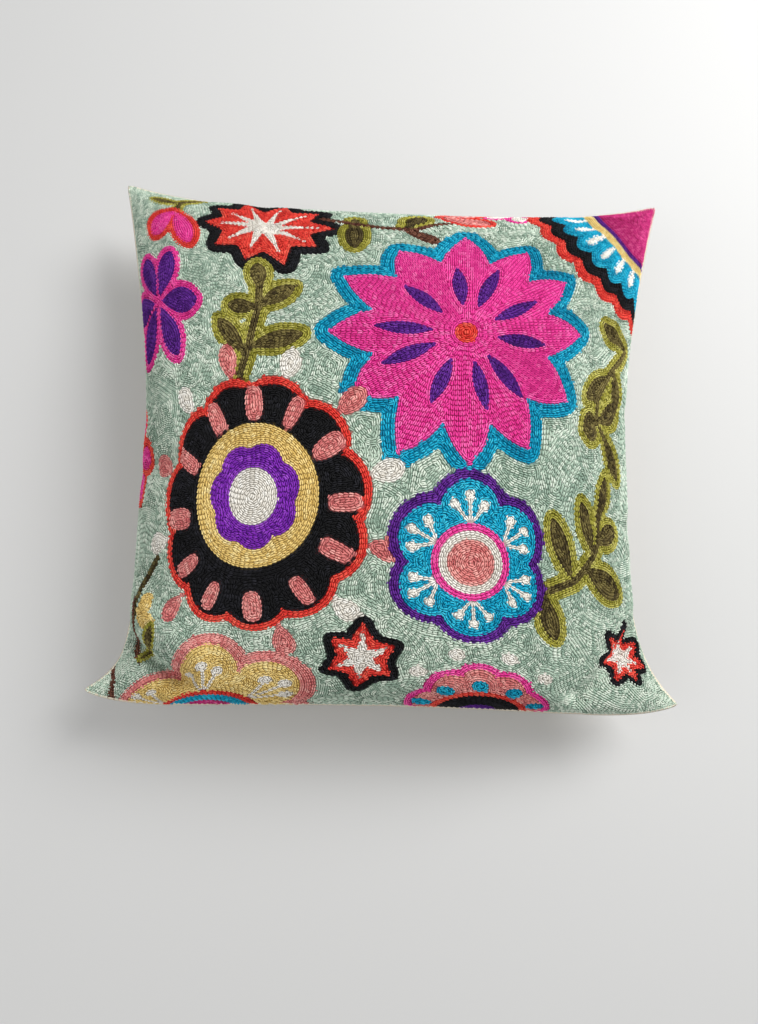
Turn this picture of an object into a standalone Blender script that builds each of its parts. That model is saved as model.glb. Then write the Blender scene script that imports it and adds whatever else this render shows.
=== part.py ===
"""A filled square cushion cover, lying on its back with its worked face up.

Metres, +Z up. The origin is under the middle of the box that holds the cushion, on the
surface it lies on. +Y is the cushion's upper side and +X its right side.
"""

import math

import bmesh
import bpy

# Driving dimensions
RIM_HEIGHT = 0.056  # from the surface up to the middle of the joining seam
RIM_THICKNESS = 0.003  # two turned-in cloth edges, pressed together
FRONT_CROWN = 0.080  # how far the front swells above the rim
BACK_CROWN = 0.063  # how far the back would swell below the rim, were it not lying on it
FULLNESS = 0.453  # 0.5 is round from rim to rim, and less is flatter on top
BELLY_DROP = 0.19  # how far the filling has slumped from the middle towards the lower side
EAR_FLATNESS = 0.31  # how far the filling stays out of the corners
CELLS = 40  # grid cells along each side

# Where each corner of the rim lies
CORNERS = {
    "upper_left": {"x": -0.2133, "y": 0.2094, "lift": 0.004},
    "upper_right": {"x": 0.2206, "y": 0.1973, "lift": 0.002},
    "lower_left": {"x": -0.2217, "y": -0.1979, "lift": -0.002},
    "lower_right": {"x": 0.2217, "y": -0.2022, "lift": -0.002},
}

# How far each side is drawn in, bowed in and lifted at its middle. A high steepness keeps the
# pull near a corner: the first is for the lower or left corner, and the second for the other.
SIDES = {
    "left": {"draw_in": 0.031, "first_steepness": 11.0, "second_steepness": 1.35, "bow": 0.000, "lift": 0.000},
    "right": {"draw_in": 0.033, "first_steepness": 6.0, "second_steepness": 1.5, "bow": 0.000, "lift": 0.000},
    "lower": {"draw_in": -0.012, "first_steepness": 8.0, "second_steepness": 8.0, "bow": 0.007, "lift": 0.002},
    "upper": {"draw_in": 0.017, "first_steepness": 2.7, "second_steepness": 2.7, "bow": 0.000, "lift": -0.002},
}

# Soft troughs on the front. Places are shares of the half side, from -1 to 1, on each axis.
CREASES = {
    "lower_left_ear": {"start": (-1.00, -0.80), "end": (-0.70, -0.93), "depth": 0.012, "width": 0.048},
    "lower_right_ear": {"start": (1.00, -0.70), "end": (0.68, -0.93), "depth": 0.012, "width": 0.052},
    "upper_left_ear": {"start": (-0.98, 0.70), "end": (-0.74, 0.96), "depth": 0.004, "width": 0.060},
    "upper_right_ear": {"start": (0.98, 0.72), "end": (0.72, 0.97), "depth": 0.004, "width": 0.060},
    "left_pucker": {"start": (-1.00, -0.20), "end": (-0.84, -0.15), "depth": 0.003, "width": 0.045},
    "right_pucker": {"start": (1.00, 0.12), "end": (0.83, 0.06), "depth": 0.003, "width": 0.045},
    "right_low_pucker": {"start": (1.00, -0.34), "end": (0.82, -0.30), "depth": 0.003, "width": 0.045},
    "upper_pucker": {"start": (-0.50, 1.00), "end": (-0.44, 0.84), "depth": 0.003, "width": 0.045},
}

SAGE = (0.33, 0.45, 0.34, 1.0)
WOOL_ROUGHNESS = 0.92


def between(a, b, share):
    """The value that share of the way from a to b."""
    return a + (b - a) * share


def side_pull(name, along):
    """How far a side is pulled in at along, which runs from -1 to 1 between its corners."""
    side = SIDES[name]
    steepness = side["first_steepness"] if along < 0 else side["second_steepness"]
    return side["draw_in"] * (1 - abs(along) ** steepness) + side["bow"] * (1 - along * along)


def straight_place(across, up, axis):
    """One coordinate of a point in the four-cornered outline before its sides are drawn in."""
    share_x, share_y = (across + 1) / 2, (up + 1) / 2
    lower = between(CORNERS["lower_left"][axis], CORNERS["lower_right"][axis], share_x)
    upper = between(CORNERS["upper_left"][axis], CORNERS["upper_right"][axis], share_x)
    return between(lower, upper, share_y)


def rim_lift(across, up):
    """How far the rim beside a point stands above its usual height."""
    share_x, share_y = (across + 1) / 2, (up + 1) / 2
    upright = 1 - up * up
    level = 1 - across * across
    sides = between(SIDES["left"]["lift"], SIDES["right"]["lift"], share_x) * upright
    ends = between(SIDES["lower"]["lift"], SIDES["upper"]["lift"], share_y) * level * up * up
    return straight_place(across, up, "lift") + sides + ends


def plan_place(across, up):
    """Where a point of the panel lies, seen from above, once its sides are drawn in."""
    share_x, share_y = (across + 1) / 2, (up + 1) / 2
    x = straight_place(across, up, "x") + between(side_pull("left", up), -side_pull("right", up), share_x)
    y = straight_place(across, up, "y") + between(side_pull("lower", across), -side_pull("upper", across), share_y)
    return x, y


def swell(across, up):
    """How full the cushion is at a point, from 0 at the rim to 1 at the belly."""
    slumped = up + BELLY_DROP * (1 - up * up)
    roundness = max(0.0, (1 - across * across) * (1 - slumped * slumped))
    ear = EAR_FLATNESS * (across * up) ** 6
    return roundness ** (FULLNESS + ear)


def distance_to_line(point, start, end):
    """The distance from a point to a straight line between two places."""
    run = (end[0] - start[0], end[1] - start[1])
    rise = (point[0] - start[0], point[1] - start[1])
    share = (run[0] * rise[0] + run[1] * rise[1]) / (run[0] ** 2 + run[1] ** 2)
    share = min(1.0, max(0.0, share))
    return math.hypot(rise[0] - run[0] * share, rise[1] - run[1] * share)


def crease_depth(across, up):
    """How deep the troughs are at a point of the front."""
    depth = 0.0
    for crease in CREASES.values():
        away = distance_to_line((across, up), crease["start"], crease["end"])
        depth += crease["depth"] * math.exp(-((away / crease["width"]) ** 2))
    return depth


def front_height(across, up):
    """The height of the worked face at a point."""
    fullness = swell(across, up)
    lift = rim_lift(across, up)
    trough = crease_depth(across, up) * min(1.0, 3 * fullness)
    return RIM_HEIGHT + RIM_THICKNESS / 2 + lift + FRONT_CROWN * fullness - trough


def back_height(across, up):
    """The height of the plain back, which is pressed flat where it lies on the surface."""
    lift = rim_lift(across, up)
    return max(0.0, RIM_HEIGHT - RIM_THICKNESS / 2 + lift - BACK_CROWN * swell(across, up))


def eased(place):
    """Moves a grid line towards the rim, where the cloth turns most."""
    return math.sin(place * math.pi / 2)


def cushion_mesh():
    """One closed form: a grid for the front, drawn out to a back, with the rim between them."""
    form = bmesh.new()
    bmesh.ops.create_grid(form, x_segments=CELLS, y_segments=CELLS, size=1)
    back = list(form.verts)
    drawn = bmesh.ops.extrude_face_region(form, geom=form.faces[:])
    front = [piece for piece in drawn["geom"] if isinstance(piece, bmesh.types.BMVert)]
    for points, height in ((front, front_height), (back, back_height)):
        for point in points:
            across, up = eased(point.co.x), eased(point.co.y)
            point.co = (*plan_place(across, up), height(across, up))
    bmesh.ops.recalc_face_normals(form, faces=form.faces)
    bmesh.ops.triangulate(form, faces=form.faces)
    mesh = bpy.data.meshes.new("cushion")
    form.to_mesh(mesh)
    form.free()
    mesh.shade_smooth()
    return mesh


def wool_material():
    """The ground colour of the worked wool."""
    material = bpy.data.materials.new("sage_wool")
    material.use_nodes = True
    shader = material.node_tree.nodes["Principled BSDF"]
    shader.inputs["Base Color"].default_value = SAGE
    shader.inputs["Roughness"].default_value = WOOL_ROUGHNESS
    shader.inputs["Metallic"].default_value = 0.0
    return material


def main():
    """Clears the scene and makes the cushion."""
    for old in list(bpy.data.objects):
        bpy.data.objects.remove(old)
    collection = bpy.data.collections.new("cushion_cover")
    bpy.context.scene.collection.children.link(collection)
    cushion = bpy.data.objects.new("cushion", cushion_mesh())
    cushion.data.materials.append(wool_material())
    collection.objects.link(cushion)


main()
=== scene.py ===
"""A square cushion cover worked all over in wool chain stitch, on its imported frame.

The front panel is planned flat, as a map of which yarn covers each spot. Rows of stitches
are laid over that map, and each link of each row is set on the filled cushion as a mesh.
"""

import logging
import math
from dataclasses import dataclass, field, replace
from enum import Enum
from typing import Any

import bmesh
import bpy
import numpy as np
from mathutils import Matrix, Vector


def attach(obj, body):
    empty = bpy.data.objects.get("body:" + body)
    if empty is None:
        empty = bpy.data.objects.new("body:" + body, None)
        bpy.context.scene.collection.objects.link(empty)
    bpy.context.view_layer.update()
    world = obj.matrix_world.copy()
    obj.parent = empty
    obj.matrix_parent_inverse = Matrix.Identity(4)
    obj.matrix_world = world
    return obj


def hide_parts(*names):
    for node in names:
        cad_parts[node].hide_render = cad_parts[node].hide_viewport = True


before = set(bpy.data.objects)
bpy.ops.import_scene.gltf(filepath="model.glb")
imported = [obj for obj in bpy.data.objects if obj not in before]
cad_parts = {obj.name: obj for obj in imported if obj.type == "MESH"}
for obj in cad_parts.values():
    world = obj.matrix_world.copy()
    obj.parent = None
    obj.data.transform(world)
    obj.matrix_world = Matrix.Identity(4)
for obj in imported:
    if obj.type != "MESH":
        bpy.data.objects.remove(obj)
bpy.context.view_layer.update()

LOG = logging.getLogger("cushion_cover")
SEED = 20
PITCH = 0.0026  # from one row of stitches to the next, in metres
LINK = 0.0034  # from one link of a row to the next

Place = tuple[float, float]
Colour = tuple[float, float, float]


class Yarn(Enum):
    """The wool yarns of the cover, numbered as the panel's map stores them."""

    SAGE = 0
    HOT_PINK = 1
    MAGENTA = 2
    TURQUOISE = 3
    PURPLE = 4
    CORAL = 5
    BLACK = 6
    DUSTY_PINK = 7
    YELLOW = 8
    WHITE = 9
    DARK_OLIVE = 10
    LIME_OLIVE = 11
    BROWN = 12
    VIOLET = 13


class RowStyle(Enum):
    """How the rows of stitches lie within one part of the design."""

    ECHO = "each row follows the edge of the part"
    RAYS = "rows run straight along each petal"


def linear(colour: Colour) -> Colour:
    """Turns a colour as seen on a screen into the light values that shaders use.

    Args:
        colour: Red, green and blue from 0 to 255.

    Returns:
        The same colour as linear light, from 0 to 1.
    """
    shares = [part / 255 for part in colour]
    return tuple(s / 12.92 if s <= 0.04045 else ((s + 0.055) / 1.055) ** 2.4 for s in shares)


@dataclass(frozen=True)
class Dye:
    """The colours that one yarn shows.

    Attributes:
        slot: The name of the yarn's material slot in the record; it is not used.
        dark: The shaded strands, from 0 to 255.
        middle: The usual strands.
        light: The strands that catch the light.
        heather: How unevenly the yarn took its colour, from 0 to 1.
    """

    slot: str
    dark: Colour
    middle: Colour
    light: Colour
    heather: float = 0.5


DYES = {
    Yarn.SAGE: Dye("sage_wool", (146, 170, 152), (184, 203, 185), (220, 230, 215), 0.85),
    Yarn.HOT_PINK: Dye("hot_pink_wool", (206, 34, 128), (236, 62, 156), (246, 116, 184), 0.45),
    Yarn.MAGENTA: Dye("magenta_wool", (166, 28, 92), (202, 48, 124), (224, 92, 154), 0.55),
    Yarn.TURQUOISE: Dye("turquoise_wool", (0, 124, 160), (0, 162, 198), (56, 192, 218), 0.55),
    Yarn.PURPLE: Dye("purple_wool", (62, 18, 100), (88, 30, 134), (118, 56, 164), 0.5),
    Yarn.CORAL: Dye("coral_wool", (200, 40, 36), (230, 64, 54), (242, 104, 84), 0.5),
    Yarn.BLACK: Dye("black_wool", (7, 7, 9), (14, 14, 17), (34, 34, 40), 0.6),
    Yarn.DUSTY_PINK: Dye("dusty_pink_wool", (198, 104, 104), (223, 134, 130), (240, 172, 164), 0.65),
    Yarn.YELLOW: Dye("yellow_wool", (212, 178, 98), (236, 206, 128), (246, 226, 162), 0.65),
    Yarn.WHITE: Dye("white_wool", (214, 208, 196), (236, 231, 221), (248, 246, 240), 0.5),
    Yarn.DARK_OLIVE: Dye("dark_olive_wool", (58, 48, 26), (90, 78, 42), (128, 116, 66), 0.75),
    Yarn.LIME_OLIVE: Dye("lime_olive_wool", (130, 126, 40), (166, 160, 64), (196, 190, 102), 0.7),
    Yarn.BROWN: Dye("brown_wool", (70, 38, 28), (102, 60, 46), (132, 86, 68), 0.55),
    Yarn.VIOLET: Dye("purple_wool", (100, 26, 150), (130, 42, 180), (160, 78, 204), 0.55),
}


# Forms that the design is drawn with. Places and sizes are metres on the flat panel.


@dataclass(frozen=True)
class Lobed:
    """A round form whose edge may swell into lobes; a disc where its depth is 0.

    Attributes:
        centre: Where its middle is.
        radius: How far its lobes reach.
        lobes: How many lobes it has.
        depth: How far the notches cut in, as a share of the radius.
        turn: Where the first lobe points, in degrees from +X.
        tall: Its height over its width.
        fullness: Below 1 the lobes are full and the notches sharp.
    """

    centre: Place
    radius: float
    lobes: int = 1
    depth: float = 0.0
    turn: float = 0.0
    tall: float = 1.0
    fullness: float = 0.7

    def window(self) -> tuple[Place, float]:
        """The middle and half side of a square that holds the form."""
        return self.centre, self.radius * max(1.0, self.tall)

    def holds(self, x: np.ndarray, y: np.ndarray) -> np.ndarray:
        """Which of the given spots lie inside the form."""
        across, up = x - self.centre[0], (y - self.centre[1]) / self.tall
        angle = np.arctan2(up, across) - math.radians(self.turn)
        notch = 1 - np.abs(np.cos(self.lobes * angle / 2)) ** self.fullness
        return np.hypot(across, up) < self.radius * (1 - self.depth * notch)


@dataclass(frozen=True)
class Star:
    """A form with straight points, some a little longer than others.

    Attributes:
        centre: Where its middle is.
        tip: How far its points reach.
        notch: How far in the corners between the points lie.
        points: How many points it has.
        turn: Where the first point is, in degrees from +X.
        tall: Its height over its width.
        uneven: How far the points differ, as a share of their reach.
        swell: How far the sides of a point bow out, as a share of their distance.
    """

    centre: Place
    tip: float
    notch: float
    points: int
    turn: float = 0.0
    tall: float = 1.0
    uneven: float = 0.0
    swell: float = 0.0

    def window(self) -> tuple[Place, float]:
        """The middle and half side of a square that holds the form."""
        return self.centre, self.tip * (1 + self.uneven + self.swell) * max(1.0, self.tall)

    def holds(self, x: np.ndarray, y: np.ndarray) -> np.ndarray:
        """Which of the given spots lie inside the form."""
        across, up = x - self.centre[0], (y - self.centre[1]) / self.tall
        half = math.pi / self.points
        angle = (np.arctan2(up, across) - math.radians(self.turn) + half) % (2 * math.pi)
        tip = self.tip * (1 + self.uneven * np.sin(angle // (2 * half) * 2.4 + 1))
        fold = np.abs(angle % (2 * half) - half)
        edge = tip * self.notch * math.sin(half) / (tip * np.sin(fold) + self.notch * np.sin(half - fold))
        return np.hypot(across, up) < edge * (1 + self.swell * np.sin(np.pi * fold / half))


@dataclass(frozen=True)
class Petal:
    """A long form on an axis, such as a petal, a leaf or a dash.

    Attributes:
        base: Where it starts.
        turn: Where it points, in degrees from +X.
        length: How long it is.
        width: How wide it is at its widest.
        widest: How far along it is widest, as a share of its length.
        bluntness: Near 1 its ends are pointed, and near 0 they are square.
    """

    base: Place
    turn: float
    length: float
    width: float
    widest: float = 0.5
    bluntness: float = 0.75

    def window(self) -> tuple[Place, float]:
        """The middle and half side of a square that holds the form."""
        middle = along(self.base, self.turn, self.length / 2)
        return middle, max(self.length, self.width) * 0.75

    def holds(self, x: np.ndarray, y: np.ndarray) -> np.ndarray:
        """Which of the given spots lie inside the form."""
        cos, sin = math.cos(math.radians(self.turn)), math.sin(math.radians(self.turn))
        across, up = x - self.base[0], y - self.base[1]
        share = (across * cos + up * sin) / self.length
        aside = np.abs(up * cos - across * sin) / (self.width / 2)
        warped = np.clip(share, 0, 1) ** (math.log(0.5) / math.log(self.widest))
        return (share > 0) & (share < 1) & (aside < np.sin(np.pi * warped) ** self.bluntness)


@dataclass(frozen=True)
class Stem:
    """A bent band of even width through a few places.

    Attributes:
        places: The places that it passes.
        width: How wide it is.
    """

    places: tuple[Place, ...]
    width: float

    def window(self) -> tuple[Place, float]:
        """The middle and half side of a square that holds the form."""
        spread = np.array(self.places)
        middle = (spread.max(0) + spread.min(0)) / 2
        return tuple(middle), float((spread.max(0) - spread.min(0)).max() / 2 + self.width)

    def holds(self, x: np.ndarray, y: np.ndarray) -> np.ndarray:
        """Which of the given spots lie inside the form."""
        near = np.full(x.shape, np.inf)
        for (ax, ay), (bx, by) in zip(self.places, self.places[1:]):
            run, rise = bx - ax, by - ay
            share = np.clip(((x - ax) * run + (y - ay) * rise) / (run**2 + rise**2), 0, 1)
            near = np.minimum(near, np.hypot(x - ax - share * run, y - ay - share * rise))
        return near < self.width / 2


Form = Lobed | Star | Petal | Stem


def along(place: Place, turn: float, distance: float) -> Place:
    """The place that lies that far from another in a direction given in degrees."""
    angle = math.radians(turn)
    return place[0] + math.cos(angle) * distance, place[1] + math.sin(angle) * distance


def round_turns(count: int, first: float = 0.0) -> list[float]:
    """Evenly spaced directions, in degrees."""
    return [first + 360 * step / count for step in range(count)]


@dataclass
class Rays:
    """Where the straight rows of a part with the RAYS style come from."""

    centre: Place
    petals: int
    turn: float


@dataclass
class WorkedPanel:
    """The flat front panel, as a map of which yarn covers each spot.

    Attributes:
        side: The side of the square panel between its seams.
        spot: The side of one spot of the map.
        whorl: How far apart the whorls of the ground lie.
        bend: How far the borders between whorls are bent.
    """

    side: float = 0.450
    spot: float = 0.0005
    whorl: float = 0.038
    bend: float = 0.0042
    yarn: np.ndarray = field(init=False)
    part: np.ndarray = field(init=False)
    rays: dict[int, Rays] = field(init=False, default_factory=dict)
    lines: dict[int, np.ndarray] = field(init=False, default_factory=dict)
    parts: int = field(init=False, default=0)

    def __post_init__(self) -> None:
        """Fills the whole panel with ground, parted into whorls."""
        count = round(self.side / self.spot)
        places = (np.arange(count) + 0.5) * self.spot - self.side / 2
        self.x, self.y = np.meshgrid(places, places)
        self.yarn = np.zeros((count, count), np.uint8)
        self.part = np.zeros((count, count), np.int32)
        self.part_the_ground()

    def part_the_ground(self) -> None:
        """Gives each spot of the ground to the nearest of the whorls' middles, with bent borders."""
        chance = np.random.default_rng(SEED)
        x = self.x + self.bend * (np.sin(self.y / 0.0110) + np.sin((self.x + self.y) / 0.0173 + 1))
        y = self.y + self.bend * (np.sin(self.x / 0.0123) + np.sin((self.x - self.y) / 0.0151 + 2))
        steps = math.ceil(self.side / self.whorl)
        nearest = np.full(x.shape, np.inf)
        for row in range(steps + 1):
            for column in range(steps + 1):
                shift = chance.uniform(-0.36, 0.36, 2)
                middle_x = (column + shift[0]) * self.whorl - self.side / 2
                middle_y = (row + shift[1]) * self.whorl - self.side / 2
                away = (x - middle_x) ** 2 + (y - middle_y) ** 2
                mine = away < nearest
                nearest[mine] = away[mine]
                self.part[mine] = self.parts
                self.parts += 1

    def fill(
        self,
        yarn: Yarn,
        *forms: Form,
        edge: float = 0.0,
        style: RowStyle = RowStyle.ECHO,
        rays: Rays | None = None,
    ) -> None:
        """Covers one or more overlapping forms with a yarn, as one part.

        Args:
            yarn: The yarn.
            forms: The forms, joined where they overlap.
            edge: How far past the forms the yarn reaches, as an outline worked round them.
            style: How the rows lie.
            rays: Where straight rows come from, for the RAYS style.
        """
        windows = [form.window() for form in forms]
        columns, rows = (
            self.spots_between(
                min(middle[axis] - reach for middle, reach in windows) - edge,
                max(middle[axis] + reach for middle, reach in windows) + edge,
            )
            for axis in (0, 1)
        )
        x, y = self.x[rows, columns], self.y[rows, columns]
        inside = np.zeros(x.shape, bool)
        for form in forms:
            inside |= form.holds(x, y)
        if edge:
            inside = distance_to_marks(inside, math.ceil(edge / self.spot) + 1) * self.spot < edge
        self.yarn[rows, columns][inside] = yarn.value
        self.part[rows, columns][inside] = self.parts
        if style is RowStyle.RAYS and rays:
            self.rays[self.parts] = rays
        self.parts += 1

    def line(self, yarn: Yarn, *places: Place) -> None:
        """Works a single row of stitches through a few places, which the other rows go round."""
        self.fill(yarn, Stem(places, PITCH * 0.9))
        self.lines[self.parts - 1] = np.array(places, float)

    def spots_between(self, low: float, high: float) -> slice:
        """The spots of one row or column between two distances from the panel's middle."""
        count = self.yarn.shape[0]
        first = int(np.clip(math.floor((low + self.side / 2) / self.spot), 0, count))
        last = int(np.clip(math.ceil((high + self.side / 2) / self.spot), 0, count))
        return slice(first, last)

    def spot_of(self, places: np.ndarray) -> tuple[np.ndarray, np.ndarray]:
        """The row and column of the map that hold each place."""
        count = self.yarn.shape[0]
        found = np.clip(((places + self.side / 2) / self.spot).astype(int), 0, count - 1)
        return found[:, 1], found[:, 0]


# The motifs of the design


@dataclass(frozen=True)
class StarFlower:
    """A large pointed flower: petals in straight rows, an outline, dashes and an eye."""

    centre: Place = (0.051, 0.066)
    tip: float = 0.088
    notch: float = 0.0620
    petals: int = 12
    outline: float = 0.0096
    turn: float = 2.0
    dashes: int = 10
    dash_from: float = 0.021
    dash_length: float = 0.038
    dash_width: float = 0.0098
    eye: float = 0.0080

    def work(self, panel: WorkedPanel) -> None:
        """Works the flower on the panel."""
        petals = Star(self.centre, self.tip, self.notch, self.petals, self.turn, 1.04, 0.05, 0.055)
        panel.fill(Yarn.TURQUOISE, petals, edge=self.outline)
        rays = Rays(self.centre, self.petals, self.turn)
        panel.fill(Yarn.HOT_PINK, petals, style=RowStyle.RAYS, rays=rays)
        for step, turn in enumerate(round_turns(self.dashes, 30)):
            turn += 5 * math.sin(2.1 * step)
            length = self.dash_length * (1 + 0.08 * math.sin(1.7 * step))
            base = along(self.centre, turn, self.dash_from)
            panel.fill(Yarn.PURPLE, Petal(base, turn, length, self.dash_width, 0.5, 0.9))
        panel.fill(Yarn.CORAL, Lobed(self.centre, self.eye))


@dataclass(frozen=True)
class Rosette:
    """A large scalloped rosette with rings inside it and drops around it."""

    centre: Place = (-0.087, -0.054)
    core: Place = (-0.087, -0.0465)
    radius: float = 0.0755
    scallops: int = 11
    tall: float = 1.06
    outline: float = 0.0056
    dashes: int = 12
    ring: float = 0.0462
    bloom: float = 0.0340
    eye: float = 0.0182
    drops: int = 12
    hidden_drop: int = 8
    drop_length: float = 0.0265
    drop_width: float = 0.0155

    def around(self, turn: float, radius: float) -> Place:
        """A place on an ellipse around the rosette's middle."""
        x, y = along((0.0, 0.0), turn, radius)
        return self.centre[0] + x, self.centre[1] + y * self.tall

    def work(self, panel: WorkedPanel) -> None:
        """Works the rosette on the panel."""
        for step, turn in enumerate(round_turns(self.drops, 15)):
            if step == self.hidden_drop:
                continue
            yarn = Yarn.DUSTY_PINK if step % 2 else Yarn.WHITE
            base = self.around(turn, self.radius + self.outline - 0.004)
            length = self.drop_length * (1 + 0.1 * math.sin(2.9 * step))
            panel.fill(yarn, Petal(base, turn, length, self.drop_width, 0.62, 0.62))
        scalloped = Lobed(self.centre, self.radius, self.scallops, 0.11, 12, self.tall, 0.72)
        panel.fill(Yarn.CORAL, scalloped, edge=self.outline)
        panel.fill(Yarn.BLACK, scalloped)
        for step, turn in enumerate(round_turns(self.dashes, 4)):
            base = self.around(turn + 3 * math.sin(1.3 * step), self.radius * 0.685)
            width = 0.0125 + 0.0018 * math.sin(2.3 * step)
            panel.fill(Yarn.DUSTY_PINK, Petal(base, turn, 0.0228, width, 0.5 + 0.12 * math.sin(step), 0.18))
        panel.fill(Yarn.YELLOW, Lobed(self.core, self.ring))
        panel.fill(Yarn.VIOLET, Lobed(self.core, self.bloom, 7, 0.13, 20, 1.0, 0.8))
        panel.fill(Yarn.WHITE, Lobed(self.core, self.eye))


@dataclass(frozen=True)
class Stamens:
    """Stalks with round heads on the petals of a flower."""

    splay: float
    stalk: float
    head: float

    def work(self, panel: WorkedPanel, centre: Place, turn: float, start: float) -> None:
        """Works three stamens on one petal.

        Args:
            panel: The panel.
            centre: The flower's middle.
            turn: Where the petal points, in degrees.
            start: How far from the middle they start.
        """
        for side, share in ((-1, 0.86), (0, 1.1), (1, 0.92)):
            foot = along(centre, turn + side * self.splay * 0.1, start)
            head = along(foot, turn + side * self.splay, self.stalk * share)
            panel.line(Yarn.WHITE, foot, head)
            panel.fill(Yarn.WHITE, Lobed(head, self.head))


@dataclass(frozen=True)
class StamenFlower:
    """A lobed flower with an outline, rings at its heart and stamens on each petal."""

    centre: Place = (0.0555, -0.0855)
    radius: float = 0.0500
    tall: float = 1.07
    petals: int = 6
    turn: float = 91.0
    outline: float = 0.0066
    rings: tuple[tuple[Yarn, float], ...] = (
        (Yarn.HOT_PINK, 0.0262),
        (Yarn.WHITE, 0.0216),
        (Yarn.DUSTY_PINK, 0.0156),
    )

    def work(self, panel: WorkedPanel) -> None:
        """Works the flower on the panel."""
        bloom = Lobed(self.centre, self.radius, self.petals, 0.22, self.turn, self.tall, 0.72)
        panel.fill(Yarn.PURPLE, bloom, edge=self.outline)
        panel.fill(Yarn.TURQUOISE, bloom)
        for turn in round_turns(self.petals, self.turn):
            Stamens(38, 0.0150, 0.0037).work(panel, self.centre, turn, self.rings[0][1] + 0.001)
        for yarn, radius in self.rings:
            panel.fill(yarn, Lobed(self.centre, radius))


@dataclass(frozen=True)
class LoosePetalFlower:
    """A small flower of separate petals inside a joined outline."""

    centre: Place
    petals: int
    length: float
    width: float
    turn: float
    inner: Yarn
    outer: Yarn
    outline: float = 0.0056

    def work(self, panel: WorkedPanel) -> None:
        """Works the flower on the panel."""
        forms = []
        for step, turn in enumerate(round_turns(self.petals, self.turn)):
            turn += 6 * math.sin(2.5 * step)
            length = self.length * (1 + 0.07 * math.sin(1.9 * step))
            forms.append(Petal(along(self.centre, turn, 0.0045), turn, length, self.width, 0.6, 0.66))
        panel.fill(self.outer, *forms, edge=self.outline)
        for form in forms:
            panel.fill(self.inner, form)


@dataclass(frozen=True)
class ThreeColourStar:
    """A star in three colours, one inside another."""

    centre: Place
    tip: float
    notch: float
    points: int
    turn: float
    tall: float
    edge: float
    core_tip: float
    core_notch: float

    def work(self, panel: WorkedPanel) -> None:
        """Works the star on the panel."""
        middle = Star(self.centre, self.tip, self.notch, self.points, self.turn, self.tall, 0.05)
        panel.fill(Yarn.BLACK, middle, edge=self.edge)
        panel.fill(Yarn.CORAL, middle)
        core = Star(self.centre, self.core_tip, self.core_notch, self.points, self.turn, self.tall, 0.07)
        panel.fill(Yarn.WHITE, core)


@dataclass(frozen=True)
class Leaf:
    """One leaf of a sprig, by its share along the stem."""

    at: float
    turn: float
    length: float
    width: float


@dataclass(frozen=True)
class Sprig:
    """A stem with leaves, dark inside a lighter outline."""

    stem: tuple[Place, ...]
    leaves: tuple[Leaf, ...] = ()
    stem_width: float = 0.0056
    outline: float = 0.0054
    inner: Yarn = Yarn.DARK_OLIVE

    def on_stem(self, share: float) -> Place:
        """The place that lies that share along the stem."""
        places = np.array(self.stem)
        steps = np.hypot(*np.diff(places, axis=0).T)
        run = np.concatenate([[0], np.cumsum(steps)]) / steps.sum()
        return float(np.interp(share, run, places[:, 0])), float(np.interp(share, run, places[:, 1]))

    def work(self, panel: WorkedPanel) -> None:
        """Works the sprig on the panel."""
        forms: list[Form] = [Stem(self.stem, self.stem_width)]
        for leaf in self.leaves:
            forms.append(Petal(self.on_stem(leaf.at), leaf.turn, leaf.length, leaf.width, 0.58, 0.7))
        if self.outline:
            panel.fill(Yarn.LIME_OLIVE, *forms, edge=self.outline)
        panel.fill(self.inner, *forms)


@dataclass(frozen=True)
class CornerRosette:
    """A quarter of a banded rosette, its middle beyond a corner of the panel."""

    centre: Place = (0.252, 0.240)
    radius: float = 0.167
    scallops: int = 34
    turn: float = 4.0

    def work(self, panel: WorkedPanel) -> None:
        """Works the rosette on the panel."""
        bands = ((Yarn.CORAL, 1.0, 0.036), (Yarn.BLACK, 0.945, 0.036), (Yarn.TURQUOISE, 0.880, 0.055))
        for yarn, share, depth in bands:
            ripple = Lobed(self.centre, self.radius * share, self.scallops, depth, self.turn, 1.0, 1.1)
            panel.fill(yarn, ripple)
        for turn in round_turns(self.scallops, self.turn):
            base = along(self.centre, turn, self.radius * 0.66)
            panel.fill(Yarn.WHITE, Petal(base, turn, 0.0260, 0.0082, 0.72, 0.35))
        for yarn, share in ((Yarn.YELLOW, 0.690), (Yarn.PURPLE, 0.642), (Yarn.MAGENTA, 0.610)):
            panel.fill(yarn, Lobed(self.centre, self.radius * share))


@dataclass(frozen=True)
class BorderFlower:
    """A large flower cut by the lower seam, with coloured spots or stamens on its petals."""

    centre: Place
    radius: float
    tall: float
    petals: int
    notches: float
    turn: float
    outline: tuple[Yarn, float]
    petal: Yarn
    rings: tuple[tuple[Yarn, float], ...]
    spots: Yarn | None = None
    stamens: Stamens | None = None

    def work(self, panel: WorkedPanel) -> None:
        """Works the flower on the panel."""
        bloom = Lobed(self.centre, self.radius, self.petals, self.notches, self.turn, self.tall, 0.66)
        panel.fill(self.outline[0], bloom, edge=self.outline[1])
        panel.fill(self.petal, bloom)
        heart = self.rings[0][1]
        for turn in round_turns(self.petals, self.turn):
            if self.spots:
                base = along(self.centre, turn, (heart + self.radius) / 2 - 0.007)
                panel.fill(self.spots, Petal(base, turn, 0.0145, 0.0115, 0.55, 0.5))
            if self.stamens:
                self.stamens.work(panel, self.centre, turn, heart + 0.001)
        for yarn, radius in self.rings:
            panel.fill(yarn, Lobed(self.centre, radius))


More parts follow.
